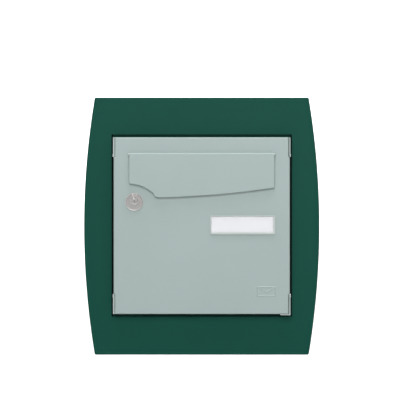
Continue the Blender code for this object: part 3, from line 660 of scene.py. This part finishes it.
def build_casing():
    low, high = box_of("casing_shell")
    sheet, flange, bend, fold = 1.0, 9.0, 2.0, 1.6
    half = high.x
    ring = corner_ring(rectangle(-half, half, -half, half), bend, 8)
    edge = corner_ring(rectangle(-half + flange, half - flange, -half + flange, half - flange), bend, 8)
    loops = bend_loops(ring, low.y, fold, 6, True)
    loops += [(ring(), high.y - 0.2), (ring(0.2), high.y), (ring(sheet - 0.2), high.y)]
    loops += [(ring(sheet), high.y - 0.2), (ring(sheet), low.y + fold), (ring(sheet + 0.6), low.y + sheet)]
    loops += [(edge(), low.y + sheet), (edge(), low.y + 0.2), (edge(0.2), low.y)]
    seam = block((-0.25, 2, low.z - 1), (0.25, high.y + 1, low.z + 0.45))
    solid = cut(skin(loops, capped=False), *wall_holes((low.y, high.y)), seam)
    add_piece("casing_wrapper", solid, GREY, "casing_shell")


def build_back():
    low, high = box_of("casing_back")
    sheet, fold, bend = 1.0, 1.5, 2.0
    half = high.x
    ring = corner_ring(rectangle(-half, half, -half, half), bend, 8)
    loops = [(ring(sheet + 0.5), high.y - sheet), (ring(sheet), high.y - fold)]
    loops += [(ring(sheet), low.y + 0.2), (ring(sheet - 0.2), low.y)]
    loops += [(ring(0.2), low.y), (ring(), low.y + 0.2)]
    loops += bend_loops(ring, high.y - fold, fold, 6, False)
    spots = [(side * 100.0, high.y, level * 100.0) for side in SIDES.values() for level in LEVELS.values()]
    holes = [bore(3.5, (0, 1, 0), spot) for spot in spots]
    sinks = []
    for spot in spots:
        sinks.append(aimed(turned([(0, 0.5), (4.1, 0.5), (3.2, -0.5), (0, -0.5)]), (0, 1, 0), spot))
    solid = cut(skin(loops), *holes, *wall_holes((low.y, high.y)))
    solid = cut(solid, *sinks)
    add_piece("back_sheet", solid, GREY, "casing_back")


def build_rivets():
    """Blind rivets: a domed head with the broken mandrel's hole outside, and a bulbed tail inside."""
    for name in RIVETS:
        low, high = box_of(name)
        side = 1 if low.x > 0 else -1
        outer = high.x if side > 0 else -low.x
        inner = low.x if side > 0 else -high.x
        centre = (0, (low.y + high.y) / 2, (low.z + high.z) / 2)
        head_foot = outer - 1.0
        head = [(0, outer - 0.7), (0.8, outer - 0.7), (0.9, outer - 0.1), (1.3, outer)]
        head += [(2.2, outer - 0.22), (2.85, outer - 0.6), (3.2, head_foot), (RIVET, head_foot)]
        tail = [(RIVET, inner + 1.0), (2.5, inner + 0.9), (2.8, inner + 0.5), (2.4, inner + 0.1), (0, inner)]
        solid = aimed(turned(head + tail, 36, 0.12, 2), (side, 0, 0), centre)
        add_piece(f"{name}_steel", solid, ZINC, name)


# -------- lugs and hinge


def build_lugs():
    """Moulded corner pieces beside the door, each with a raised nub at its inner end."""
    for level_name, side_name in PLACES:
        level, side = LEVELS[level_name], SIDES[side_name]
        name = f"lug_{level_name}_{side_name}"
        low, high = box_of(name)
        has_leg = level < 0 < side
        inner = LUG_INNER_X[side_name]
        nub = max(-low.x, high.x)
        near = min(abs(low.z), abs(high.z))
        far = max(abs(low.z), abs(high.z))
        profile = [(inner, near), (LUG_OUTER_X, near), (nub, near + 1.0), (nub, near + 3.0)]
        profile += [(LUG_OUTER_X, near + 4.0), (LUG_OUTER_X, far - 0.5), (LUG_OUTER_X - 0.5, far)]
        radii = [0.2, 0.3, 0.6, 0.6, 0.8, 0.2, 0.2]
        if has_leg:
            foot = far - 1.5
            profile += [(low.x, far), (low.x, foot), (inner, foot)]
            radii += [0.3, 0.3, 0.5]
        else:
            profile += [(inner, far)]
            radii += [0.2]
        outline = corner_ring([(side * x, level * z) for x, z in profile], radii, 4)
        solid = plate(outline, low.y, high.y, edge=0.3)
        casing_low, casing_high = box_of("casing_shell")
        edges = sorted((side * (inner - 1), side * (casing_high.x + GAP)))
        room = block((edges[0], casing_low.y - GAP, low.z - 2), (edges[1], high.y + 2, high.z + 2))
        solid = cut(solid, room)
        if has_leg:
            behind = box_of("surround")[0].y - GAP
            solid = cut(solid, block((low.x - 2, behind, low.z - 5), (high.x + 2, high.y + 5, low.z + 1.8)))
            pin = centre_of("hinge_pin_bottom")
            solid = cut(solid, bore(HINGE_BORE, (0, 0, 1), (pin.x, pin.y, low.z)))
        add_piece(f"corner_{name}", solid, LUG_GREY, name)


def build_hinge():
    low, high = box_of("hinge_bracket_top")
    pin = centre_of("hinge_pin_top")
    foot_front = high.y - 1.5
    tongue_low = high.z - 2.0
    section = [(low.y - 5, high.z), (low.y - 5, tongue_low), (foot_front, tongue_low), (foot_front, low.z)]
    section += [(high.y, low.z), (high.y, high.z)]
    radii = [0, 0, 0.8, 0.3, 0.3, 1.8]
    angle = plate(rounded(section, radii, 6), low.x - 5, high.x + 5, "X")
    nose = arc((pin.x, pin.y), 3.0, 0, -180, 24)
    plan = [(high.x - 2.2, high.y + 1), (high.x - 2.2, pin.y + 3), (pin.x + 3, pin.y + 1)]
    plan += nose + [(low.x, pin.y + 3), (low.x, high.y + 1)]
    solid = combined(angle, plate(plan, low.z - 1, high.z + 1, "Z"), "INTERSECT")
    solid = cut(solid, bore(HINGE_BORE, (0, 0, 1), (pin.x, pin.y, high.z)))
    add_piece("upper_hinge_bracket", solid, ZINC, "hinge_bracket_top")

    low, high = box_of("hinge_pin_top")
    neck = low.z + 1.4
    profile = [(0, low.z), (2.8, low.z), (2.8, neck), (HINGE_PIN, neck), (HINGE_PIN, high.z), (0, high.z)]
    solid = aimed(turned(profile, edge=0.35), (0, 0, 1), (pin.x, pin.y, 0))
    add_piece("upper_hinge_pin", solid, ZINC, "hinge_pin_top")
    low, high = box_of("hinge_pin_bottom")
    solid = aimed(rod(HINGE_PIN, low.z, high.z, 0.4), (0, 0, 1), (pin.x, pin.y, 0))
    add_piece("lower_hinge_pin", solid, ZINC, "hinge_pin_bottom")

    rings = {"hinge_washer_top": "upper_hinge_washer", "hinge_bush_bottom": "lower_hinge_bush"}
    for node, name in rings.items():
        low, high = box_of(node)
        solid = aimed(tube(3.0, HINGE_BORE, low.z, high.z, 0.15), (0, 0, 1), (pin.x, pin.y, 0))
        add_piece(name, solid, NYLON, node)


def build_strike():
    low, high = box_of("strike_plate")
    outline = corner_ring(rectangle(low.x, high.x, low.z, high.z), [0.5, 3.0, 3.0, 0.5], 6)
    solid = plate(outline, low.y, high.y, edge=0.25)
    spots = [Vector((low.x + 5.0, high.y, z)) for z in (low.z + 5, high.z - 5)]
    dimples = [aimed(turned([(0, -0.35), (1.6, -0.25), (2.2, 0.5), (0, 0.5)]), (0, 1, 0), p) for p in spots]
    add_piece("strike_angle", cut(solid, *dimples), ZINC, "strike_plate")


def build_chute():
    low, high = box_of("chute")
    half = high.x
    under = [(low.y, high.z - 1), (high.y - 1, 46.0), (high.y - 1, low.z)]
    over = [(high.y, low.z), (high.y, 46.9), (low.y + 0.3, high.z)]
    solid = plate(rounded(under + over, [0.1, 1.2, 0.1, 0.1, 2.2, 0.1], 8), -half, half, "X")
    rivet = centre_of("chute_rivet_left")
    for side in SIDES.values():
        tab = rounded([(22, 61.2), (22, 38), (60, 38), (60, 50.8)], [0, 3, 3, 0], 6)
        ends = sorted((side * half, side * (half - 1)))
        solid = joined(solid, plate(tab, *ends, "X"))
    holes = [bore(RIVET_HOLE, (1, 0, 0), (side * half, rivet.y, rivet.z)) for side in SIDES.values()]
    add_piece("letter_chute", cut(solid, *holes), ZINC_WIDE, "chute")


# -------- fence clamp


def hex_nut(across_corners, hole, start, end):
    """A hexagonal nut with both ends chamfered and its hole countersunk."""
    sides = 72
    across = across_corners * math.cos(math.pi / 6)
    flat = across - 0.35
    sink = 0.45
    bm = bmesh.new()
    rings = []
    for i in range(sides):
        angle = 2 * math.pi * i / sides
        from_middle = (angle % (math.pi / 3)) - math.pi / 6
        edge = across / math.cos(from_middle)
        fall = (edge - flat) * 0.577
        profile = [(hole, start + sink), (hole + sink, start), (flat, start), (edge, start + fall)]
        profile += [(edge, end - fall), (flat, end), (hole + sink, end), (hole, end - sink)]
        rings.append([bm.verts.new((r * math.cos(angle), r * math.sin(angle), z)) for r, z in profile])
    return bridged(bm, rings, closed=True)


def build_fence_clamp():
    for side_name, side in SIDES.items():
        name = f"side_bracket_{side_name}"
        low, high = box_of(name)
        inner = min(abs(low.x), abs(high.x))
        outer = max(abs(low.x), abs(high.x))
        thick = 2.0
        leg = BRACKET_LEG_HALF_HEIGHT
        section = [(inner, low.y), (outer - 9, low.y), (outer - 9, low.y + thick)]
        section += [(inner + thick, low.y + thick), (inner + thick, high.y), (inner, high.y)]
        section = corner_ring([(side * x, y) for x, y in section], [3.0, 0.1, 0.1, 1.2, 0.4, 0.4], 8)
        wing = [(side * x, z) for x, z in rectangle(BRACKET_STEP_X, outer, low.z, high.z)]
        wing = corner_ring(wing, [0.8, 5.0, 5.0, 0.8], 8)
        angle = plate(section, -leg, leg, "Z", 0.3)
        solid = joined(angle, plate(wing, low.y, low.y + thick, edge=0.3))
        screws = [centre_of(f"bracket_screw_{level}_{side_name}") for level in LEVELS]
        holes = [bore(SCREW_HOLE, (1, 0, 0), (side * (inner + 1), s.y, s.z)) for s in screws]
        solid = cut(solid, *holes)
        add_piece(f"{name}_steel", solid, SHADE_BLACK, name)

        name = f"clamp_bar_{side_name}"
        low, high = box_of(name)
        outline = corner_ring(rectangle(low.x, high.x, low.z, high.z), 4.0, 8)
        studs = [centre_of(f"stud_{level}_{side_name}") for level in LEVELS]
        holes = [bore(STUD_HOLE, (0, 1, 0), (s.x, low.y + 1.5, s.z)) for s in studs]
        solid = cut(plate(outline, low.y, high.y, edge=0.4), *holes)
        add_piece(f"{name}_steel", solid, ZINC, name)


def build_fasteners():
    for level_name, side_name in PLACES:
        place = f"{level_name}_{side_name}"
        side = SIDES[side_name]
        low, high = box_of(f"stud_{place}")
        x, z = (low.x + high.x) / 2, (low.z + high.z) / 2
        solid = aimed(threaded(STUD, low.y, high.y, 1.0, 0.5), (0, 1, 0), (x, 0, z))
        add_piece(f"weld_stud_{place}", solid, ZINC, f"stud_{place}")

        low, high = box_of(f"washer_{place}")
        solid = aimed(tube(6.2, STUD_HOLE, low.y, high.y, 0.25, 64), (0, 1, 0), (x, 0, z))
        add_piece(f"flat_washer_{place}", solid, ZINC, f"washer_{place}")

        low, high = box_of(f"clamp_nut_{place}")
        solid = aimed(hex_nut(5.77, STUD_HOLE, low.y, high.y), (0, 1, 0), (x, 0, z))
        add_piece(f"hex_nut_{place}", solid, ZINC, f"clamp_nut_{place}")

        low, high = box_of(f"bracket_screw_{place}")
        y, z = (low.y + high.y) / 2, (low.z + high.z) / 2
        start = low.x if side > 0 else -high.x
        seat = start + 2.4
        end = start + 9.4
        head = [(0, start), (2.6, start), (4.1, start + 0.9), (4.5, start + 1.7), (4.5, seat), (0, seat)]
        solid = turned(head, edge=[0, 0.8, 1.0, 0.3, 0.2, 0])
        solid = joined(solid, threaded(SCREW, seat - 0.5, end, 0.8, 0.35))
        solid = cut(solid, rod(1.75, start - 1, start + 1.5, sides=6))
        solid = aimed(solid, (side, 0, 0), (0, y, z))
        add_piece(f"socket_screw_{place}", solid, ZINC, f"bracket_screw_{place}")


def build_buffers():
    for level in LEVELS:
        name = f"door_buffer_{level}"
        low, high = box_of(name)
        centre = centre_of(name)
        profile = [(0, high.y), (4, high.y), (3.9, high.y - 2.6)]
        profile += [(3.0, low.y + 0.3), (1.4, low.y), (0, low.y)]
        solid = turned(profile, edge=[0, 0.3, 1.2, 0.9, 0.8, 0], steps=5)
        solid = aimed(solid, (0, 1, 0), (centre.x, 0, centre.z))
        add_piece(f"rubber_{name}", solid, RUBBER, name)


# -------- door


def door_ring(high):
    """The door's face, narrower beside the corner lugs."""
    wide = high.x
    narrow = wide - LUG_STEP
    top = high.z
    lug = top - 30.0
    right = [(narrow, -top), (narrow, GAP - lug), (wide, GAP + LUG_STEP - lug)]
    right += [(x, -z) for x, z in reversed(right)]
    corners = right + [(-x, z) for x, z in reversed(right)]
    return corner_ring(corners, [0.8, 1.0, 1.0, 1.0, 1.0, 0.8] * 2, 4)


def distance_to_line(point, start, end):
    along = end - start
    share = max(0.0, min(1.0, (point - start).dot(along) / along.length_squared))
    return (point - start - along * share).length


def envelope_height(point, centre):
    """How far the pressed envelope mark stands proud at a point of the door's face."""
    half_wide, half_high, ridge, proud = 14.0, 7.0, 1.25, 0.75
    corners = [centre + corner for corner in rectangle(-half_wide, half_wide, -half_high, half_high)]
    middle = centre + Vector((0, -1.0))
    lines = list(zip(corners, corners[1:] + corners[:1])) + [(corners[3], middle), (middle, corners[2])]
    nearest = min(distance_to_line(point, a, b) for a, b in lines)
    share = max(0.0, 1 - nearest / ridge)
    return proud * share * share * (3 - 2 * share)


def press_envelope(bm, centre, depth):
    """Presses the mark into the flat front face, on a fine grid let into that face."""
    wide, high, pitch = 34.0, 20.0, 0.4
    columns, rows = round(wide / pitch), round(high / pitch)
    front = max((f for f in bm.faces if f.normal.y < -0.99), key=lambda f: f.calc_area())
    border = list(front.edges)
    bm.faces.remove(front)
    grid = []
    for row in range(rows + 1):
        line = []
        for column in range(columns + 1):
            point = centre + Vector((column * pitch - wide / 2, row * pitch - high / 2))
            line.append(bm.verts.new((point.x, depth - envelope_height(point, centre), point.y)))
        grid.append(line)
    for here, above in zip(grid, grid[1:]):
        for i in range(columns):
            bm.faces.new((here[i], here[i + 1], above[i + 1], above[i]))
    rim = [e for e in bm.edges if e.is_boundary and e not in border]
    bmesh.ops.triangle_fill(bm, use_beauty=True, edges=border + rim, normal=(0, -1, 0))
    bmesh.ops.recalc_face_normals(bm, faces=bm.faces)
    return bm


def build_door():
    low, high = box_of("door_panel")
    sheet, lip, bend, fold = 1.0, 8.0, 1.9, 1.3
    ring = door_ring(high)
    loops = bend_loops(ring, low.y, bend, 8, True)
    loops += bend_loops(ring, high.y - fold, fold, 5, False)
    loops += [(ring(sheet + lip - 0.2), high.y), (ring(sheet + lip), high.y - 0.2)]
    loops += [(ring(sheet + lip), high.y - sheet), (ring(sheet), high.y - sheet)]
    loops += [(ring(sheet), low.y + bend), (ring(sheet + 0.9), low.y + sheet)]
    solid = press_envelope(skin(loops), Vector((102.2, -103.8)), low.y)

    skin_rear = low.y + sheet
    slot = plate(rounded(rectangle(*SLOT), 4.0, 8), low.y - 2, skin_rear + 2)
    lock_hole = bore(BARREL_HOLE, (0, 1, 0), (LOCK.x, low.y, LOCK.y), sides=64)
    ears = []
    for side_name, side in SIDES.items():
        ear_low, ear_high = box_of(f"flap_bracket_{side_name}")
        outer = max(side * ear_low.x, side * ear_high.x)
        ends = sorted((side * (outer - 1.5), side * (outer + GAP)))
        ears.append(block((ends[0], low.y - 2, ear_low.z - GAP), (ends[1], skin_rear + 2, ear_high.z + GAP)))
    solid = cut(solid, slot, lock_hole, *ears)

    under_fold = high.z - sheet
    side_relief = block((124.5, skin_rear + 0.5, high.z - 30.0), (150.5, 0, under_fold))
    lip_relief = block((118.0, high.y - sheet - 1, high.z - 20), (125.5, 0, under_fold))
    solid = cut(cut(solid, side_relief), lip_relief)
    pin = centre_of("hinge_pin_top")
    ends = [(pin.x, pin.y, level * high.z) for level in LEVELS.values()]
    solid = cut(solid, *[bore(HINGE_BORE, (0, 0, 1), end, reach=3.0) for end in ends])
    add_piece("door_sheet", solid, GREY, "door_panel")


def build_name_plate():
    low, high = box_of("name_holder")
    seen_low, seen_high = box_of("name_label")
    lip = rectangle(seen_low.x + 0.7, seen_high.x - 0.7, seen_low.z + 0.7, seen_high.z - 0.7)
    window_low, window_high = box_of("name_window")
    ledge = window_low.y - GAP
    pocket = rectangle(seen_low.x - GAP, seen_high.x + GAP, seen_low.z - GAP, seen_high.z + GAP)
    edge = corner_ring(rectangle(low.x, high.x, low.z, high.z), 0.9, 4)
    mouth = corner_ring(lip, 0.5, 4)
    inner = corner_ring(pocket, 0.5, 4)
    loops = [(edge(), high.y)] + bend_loops(edge, low.y, 0.4, 4, True)[::-1]
    loops += [(mouth(-0.5), low.y), (mouth(-0.15), low.y + 0.15), (mouth(), low.y + 0.5)]
    loops += [(mouth(), ledge), (inner(), ledge), (inner(), high.y)]
    add_piece("name_frame", skin(loops, capped=False), FRAME, "name_holder")
    card = corner_ring(rectangle(seen_low.x, seen_high.x, seen_low.z, seen_high.z), 0.5, 3)
    solid = plate(card, seen_low.y, seen_high.y, edge=0.05)
    add_piece("name_card", solid, PAPER, "name_label")
    pane = corner_ring(rectangle(window_low.x, window_high.x, window_low.z, window_high.z), 0.5, 3)
    solid = plate(pane, window_low.y, window_high.y, edge=0.1)
    add_piece("name_pane", solid, CLEAR, "name_window")


def rib(start, end, half, near, far):
    """A raised bar with round ends between two points of the front, from one depth to another."""
    along = end - start
    heading = math.degrees(math.atan2(along.y, along.x))
    outline = arc(end, half, heading - 90, heading + 90, 10)
    outline += arc(start, half, heading + 90, heading + 270, 10)
    return plate(outline, near, far, edge=min(0.2, half / 3))


def build_lock():
    low, high = box_of("lock_rosette")
    centre = (LOCK.x, 0, ROSETTE_Z)
    front, back = -low.y, -high.y
    floor = front - 1.2
    profile = [(0, back), (14, back), (14, front - 0.5), (13.8, front), (13.55, front)]
    profile += [(12.7, floor + 0.1), (12.1, floor), (0, floor)]
    rounding = [0, 0.2, 0.3, 0.2, 0.3, 0.5, 0.4, 0]
    solid = aimed(turned(profile, 96, rounding, 5), (0, -1, 0), centre)
    solid = cut(solid, aimed(rod(BARREL_HOLE, -50, 0, sides=64), (0, 1, 0), LOCK_SPOT))
    add_piece("lock_escutcheon", solid, DISH, "lock_rosette")
    marks = [((-109.2, 48.3), (-108.9, 51.0), 0.7), ((-103.6, 48.3), (-102.8, 50.0), 0.5)]
    for i, (start, end, half) in enumerate(marks):
        mark = rib(Vector(start), Vector(end), half, -floor - 0.6, -floor + 0.1)
        add_piece(f"lock_mark_{i + 1}", mark, MARK, "lock_rosette")

    low, high = box_of("lock_barrel")
    thread_start = box_of("lock_nut")[0].y - 1.0
    profile = [(BARREL, low.y + 0.1), (BARREL, thread_start + 0.5), (PLUG_BORE, thread_start + 0.5)]
    profile += [(PLUG_BORE, low.y + 1.3), (6.5, low.y)]
    collar = turned(profile, 64, [0.2, 0.05, 0.05, 0.1, 0.15])
    core = rod(PLUG_BORE, thread_start - 2, high.y + 2, sides=64)
    screw = cut(threaded(BARREL, thread_start, high.y, 1.0, 0.45, 48), core)
    solid = aimed(joined(collar, screw), (0, 1, 0), LOCK_SPOT)
    add_piece("lock_sleeve", solid, RIM, "lock_barrel")

    low, high = box_of("lock_nut")
    solid = aimed(hex_nut(11.5, BARREL_HOLE, low.y, high.y), (0, 1, 0), LOCK_SPOT)
    add_piece("lock_hex_nut", solid, ZINC, "lock_nut")


def build_plug():
    low, high = box_of("lock_plug")
    cam_low, cam_high = box_of("lock_cam")
    shoulder = cam_low.y - GAP
    face = low.y + 0.9
    profile = [(0, face), (PLUG_RADIUS, face), (PLUG_RADIUS, shoulder), (0, shoulder)]
    solid = turned(profile, 64, [0, 0.35, 0.3, 0])
    solid = joined(solid, rod(2.6 * math.sqrt(2), shoulder - 2, high.y, sides=4))
    turn = Matrix.Rotation(math.radians(45), 4, "Z")
    bmesh.ops.transform(solid, matrix=turn, verts=solid.verts)
    solid = aimed(solid, (0, 1, 0), LOCK_SPOT)
    keyway = block((LOCK.x - 0.5, low.y - 1, LOCK.y - 3.2), (LOCK.x + 0.9, low.y + 9, LOCK.y + 0.2))
    solid = cut(solid, keyway, bore(1.8, (0, 1, 0), (LOCK.x, cam_low.y, LOCK.y)))
    add_piece("lock_cylinder", solid, PLUG, "lock_plug")
    bar = rib(Vector((-108.0, 44.6)), Vector((-106.5, 41.2)), 0.7, low.y, face + 0.1)
    add_piece("lock_pointer", bar, MARK, "lock_plug")

    reach = LOCK.y - cam_low.z
    outline = arc(LOCK, 8.0, 0, 180, 32)
    blade = [(-8, 0), (-6.4, -reach), (6.4, -reach), (8, 0)]
    outline += rounded([LOCK + Vector(p) for p in blade], [0, 2.5, 2.5, 0], 6, closed=False)[1:-1]
    solid = plate(outline, cam_low.y, cam_high.y, edge=0.25)
    room = 2.9
    near_corner = (LOCK.x - room, cam_low.y - 1, LOCK.y - room)
    hole = block(near_corner, (LOCK.x + room, cam_high.y + 1, LOCK.y + room))
    add_piece("cam_blade", cut(solid, hole), ZINC, "lock_cam")

    low, high = box_of("cam_screw")
    seat = high.y - 2.2
    profile = [(0, low.y), (1.5, low.y), (1.5, seat), (4.2, seat), (4.2, seat + 1.2)]
    profile += [(3.0, high.y), (0, high.y)]
    solid = turned(profile, edge=[0, 0.3, 0.1, 0.2, 0.8, 0.8, 0])
    for wide, tall in ((2.4, 0.4), (0.4, 2.4)):
        solid = cut(solid, block((-wide, -tall, high.y - 1.2), (wide, tall, high.y + 1)))
    solid = aimed(solid, (0, 1, 0), LOCK_SPOT)
    add_piece("cam_fixing_screw", solid, ZINC, "cam_screw")


# -------- flap


def flap_outline(low, high):
    """Straight top and sides, and a lower edge that sweeps over the lock, dips and rises."""
    half = high.x
    sweep_radius, fillet_radius = 56.0, 11.0
    lowest = low.z
    sweep = arc((-half, FLAP_LEFT_LOW - sweep_radius), sweep_radius, 90, 45, 20)
    fillet = arc((FLAP_LOWEST_X, lowest + fillet_radius), fillet_radius, 232, 270, 10)
    run = half - FLAP_LOWEST_X
    first_slope = 0.02
    bend = (FLAP_RIGHT_LOW - lowest - first_slope * run) / run**2
    steps = 36
    travels = [run * i / steps for i in range(1, steps + 1)]
    curve = [Vector((FLAP_LOWEST_X + t, lowest + first_slope * t + bend * t * t)) for t in travels]
    top = [Vector((half, FLAP_AXIS[1])), Vector((-half, FLAP_AXIS[1]))]
    return sweep + fillet + curve + top


def bulge_at(z, lowest):
    down = min(max((FLAP_AXIS[1] - z) / (FLAP_AXIS[1] - lowest), 0.0), 1.0)
    return FLAP_BULGE * (1 - (1 - down) ** 2)


def build_flap():
    low, high = box_of("flap")
    sheet, bend = 1.0, 1.1
    outline = flap_outline(low, high)
    front = FLAP_AXIS[0] - BEAD_RADIUS

    def ring(distance=0.0):
        return inset(outline, distance)

    loops = bend_loops(ring, front, bend, 6, True)
    loops += [(ring(), high.y - 0.15), (ring(0.15), high.y), (ring(sheet), high.y)]
    loops += [(ring(sheet), front + sheet)]
    solid = skin(loops)
    strips = 36
    for i in range(1, strips):
        level = low.z + (FLAP_AXIS[1] - low.z) * i / strips
        geometry = list(solid.verts) + list(solid.edges) + list(solid.faces)
        bmesh.ops.bisect_plane(solid, geom=geometry, plane_co=(0, 0, level), plane_no=(0, 0, 1))
    for vertex in solid.verts:
        share = min(1.0, max(0.0, (high.y - vertex.co.y) / (high.y - front - sheet - 0.1)))
        vertex.co.y -= bulge_at(vertex.co.z, low.z) * share
    centre = (0, *FLAP_AXIS)
    half = high.x
    bead = aimed(rod(BEAD_RADIUS, -half, half, 0.4, 64), (1, 0, 0), centre)
    solid = joined(solid, bead)
    solid = cut(solid, aimed(rod(FLAP_BORE, -half - 1, half + 1, sides=40), (1, 0, 0), centre))
    add_piece("flap_sheet", solid, GREY, "flap")

    for side_name in SIDES:
        name = f"flap_pad_{side_name}"
        low, high = box_of(name)
        x, z = (low.x + high.x) / 2, (low.z + high.z) / 2
        solid = aimed(rod(3.0, low.y, high.y, 0.6), (0, 1, 0), (x, 0, z))
        add_piece(f"rubber_{name}", solid, RUBBER, name)


def build_flap_hinge():
    low, high = box_of("flap_rod")
    solid = aimed(rod(FLAP_ROD, low.x, high.x, 0.3, 40), (1, 0, 0), (0, *FLAP_AXIS))
    add_piece("flap_pivot", solid, ZINC_WIDE, "flap_rod")
    for side_name, side in SIDES.items():
        name = f"flap_bracket_{side_name}"
        low, high = box_of(name)
        outer = max(abs(low.x), abs(high.x))
        foot_front = high.y - 1.2
        ear = [(high.y - 0.1, low.z), (low.y, low.z), (low.y, high.z), (high.y - 0.1, high.z)]
        ear = corner_ring(ear, [0, 0.8, 2.2, 0], 6)
        ends = sorted((side * (outer - 1.2), side * outer))
        solid = plate(ear, *ends, "X", 0.1)
        foot_ends = sorted((side * (outer - 0.3), side * (outer - 6.2)))
        foot = corner_ring(rectangle(*foot_ends, low.z + 0.05, high.z - 0.05), 0.5)
        solid = joined(solid, plate(foot, foot_front, high.y, edge=0.15))
        solid = cut(solid, bore(FLAP_BORE, (1, 0, 0), (side * outer, *FLAP_AXIS)))
        add_piece(f"{name}_moulding", solid, LUG_GREY, name)


# -------- studio


def stage_material(name, colour):
    n = Nodes(name)
    dark, light = shades(colour, 0.985, 1.0)
    cloud = n.spread(n.noise(1.2, 2.0))
    n.set(Base_Color=n.mix(cloud, dark, light), Roughness=0.9, Specular_IOR_Level=0.1)
    return n.material


def build_stage():
    """A pale floor that curves up into a backdrop well behind the object."""
    floor, wall, top, half, bend = -1.2, 3.6, 9.0, 16.0, 0.4
    path = [(-9.0, floor)] + arc((wall - bend, floor + bend), bend, -90, 0, 12) + [(wall, top)]
    bm = bmesh.new()
    rows = [[bm.verts.new((x, y, z)) for y, z in path] for x in (-half, half)]
    for i in range(len(path) - 1):
        bm.faces.new((rows[0][i], rows[1][i], rows[1][i + 1], rows[0][i + 1]))
    sweep = mesh_object("studio_sweep", bm, stage_material("studio_white", (0.93, 0.93, 0.93)))


def aimed_object(name, data, spot, target):
    """A light or camera at one spot, turned towards another."""
    obj = bpy.data.objects.new(name, data)
    obj.location = spot
    obj.rotation_mode = "QUATERNION"
    obj.rotation_quaternion = (Vector(target) - Vector(spot)).to_track_quat("-Z", "Y")
    bpy.context.scene.collection.objects.link(obj)
    return obj


def add_light(name, spot, target, size, watts):
    data = bpy.data.lights.new(name, "AREA")
    data.shape = "RECTANGLE"
    data.size, data.size_y = size
    data.energy = watts
    aimed_object(name, data, spot, target).visible_camera = False


def build_studio():
    world = bpy.data.worlds.new("studio")
    world.use_nodes = True
    background = world.node_tree.nodes["Background"]
    background.inputs["Color"].default_value = (0.97, 0.985, 1.0, 1.0)
    background.inputs["Strength"].default_value = 0.1
    bpy.context.scene.world = world
    add_light("key", (-0.3, -2.4, 1.65), (0, 0, 0), (2.4, 1.1), 52.0)
    add_light("front", (0.2, -2.6, 0.3), (0, 0, 0), (1.6, 1.0), 10.0)
    add_light("top", (0.15, -0.45, 2.6), (0, -0.05, 0), (1.8, 1.0), 48.0)
    add_light("right_fill", (1.9, -1.3, 0.6), (0, 0, 0), (1.0, 1.2), 5.0)
    add_light("rear_fill", (-1.4, 2.5, 1.5), (0, 0.2, 0), (1.4, 1.4), 30.0)
    add_light("backdrop", (0.0, 2.4, 1.9), (0, 3.6, 0), (3.0, 0.6), 130.0)


def build_camera():
    data = bpy.data.cameras.new("camera")
    data.sensor_width = 36.0
    data.lens = 113.9
    data.clip_end = 50.0
    camera = aimed_object("camera", data, (0.0, -2.029, 0.04), (-0.0027, -0.029, 0.0406))
    bpy.context.scene.camera = camera
    bpy.context.scene.view_settings.view_transform = "Standard"


build_camera()
build_studio()
build_stage()
build_surround()
build_casing()
build_back()
build_rivets()
build_lugs()
build_hinge()
build_strike()
build_chute()
build_fence_clamp()
build_fasteners()
build_buffers()
build_door()
build_name_plate()
build_lock()
build_plug()
build_flap()
build_flap_hinge()
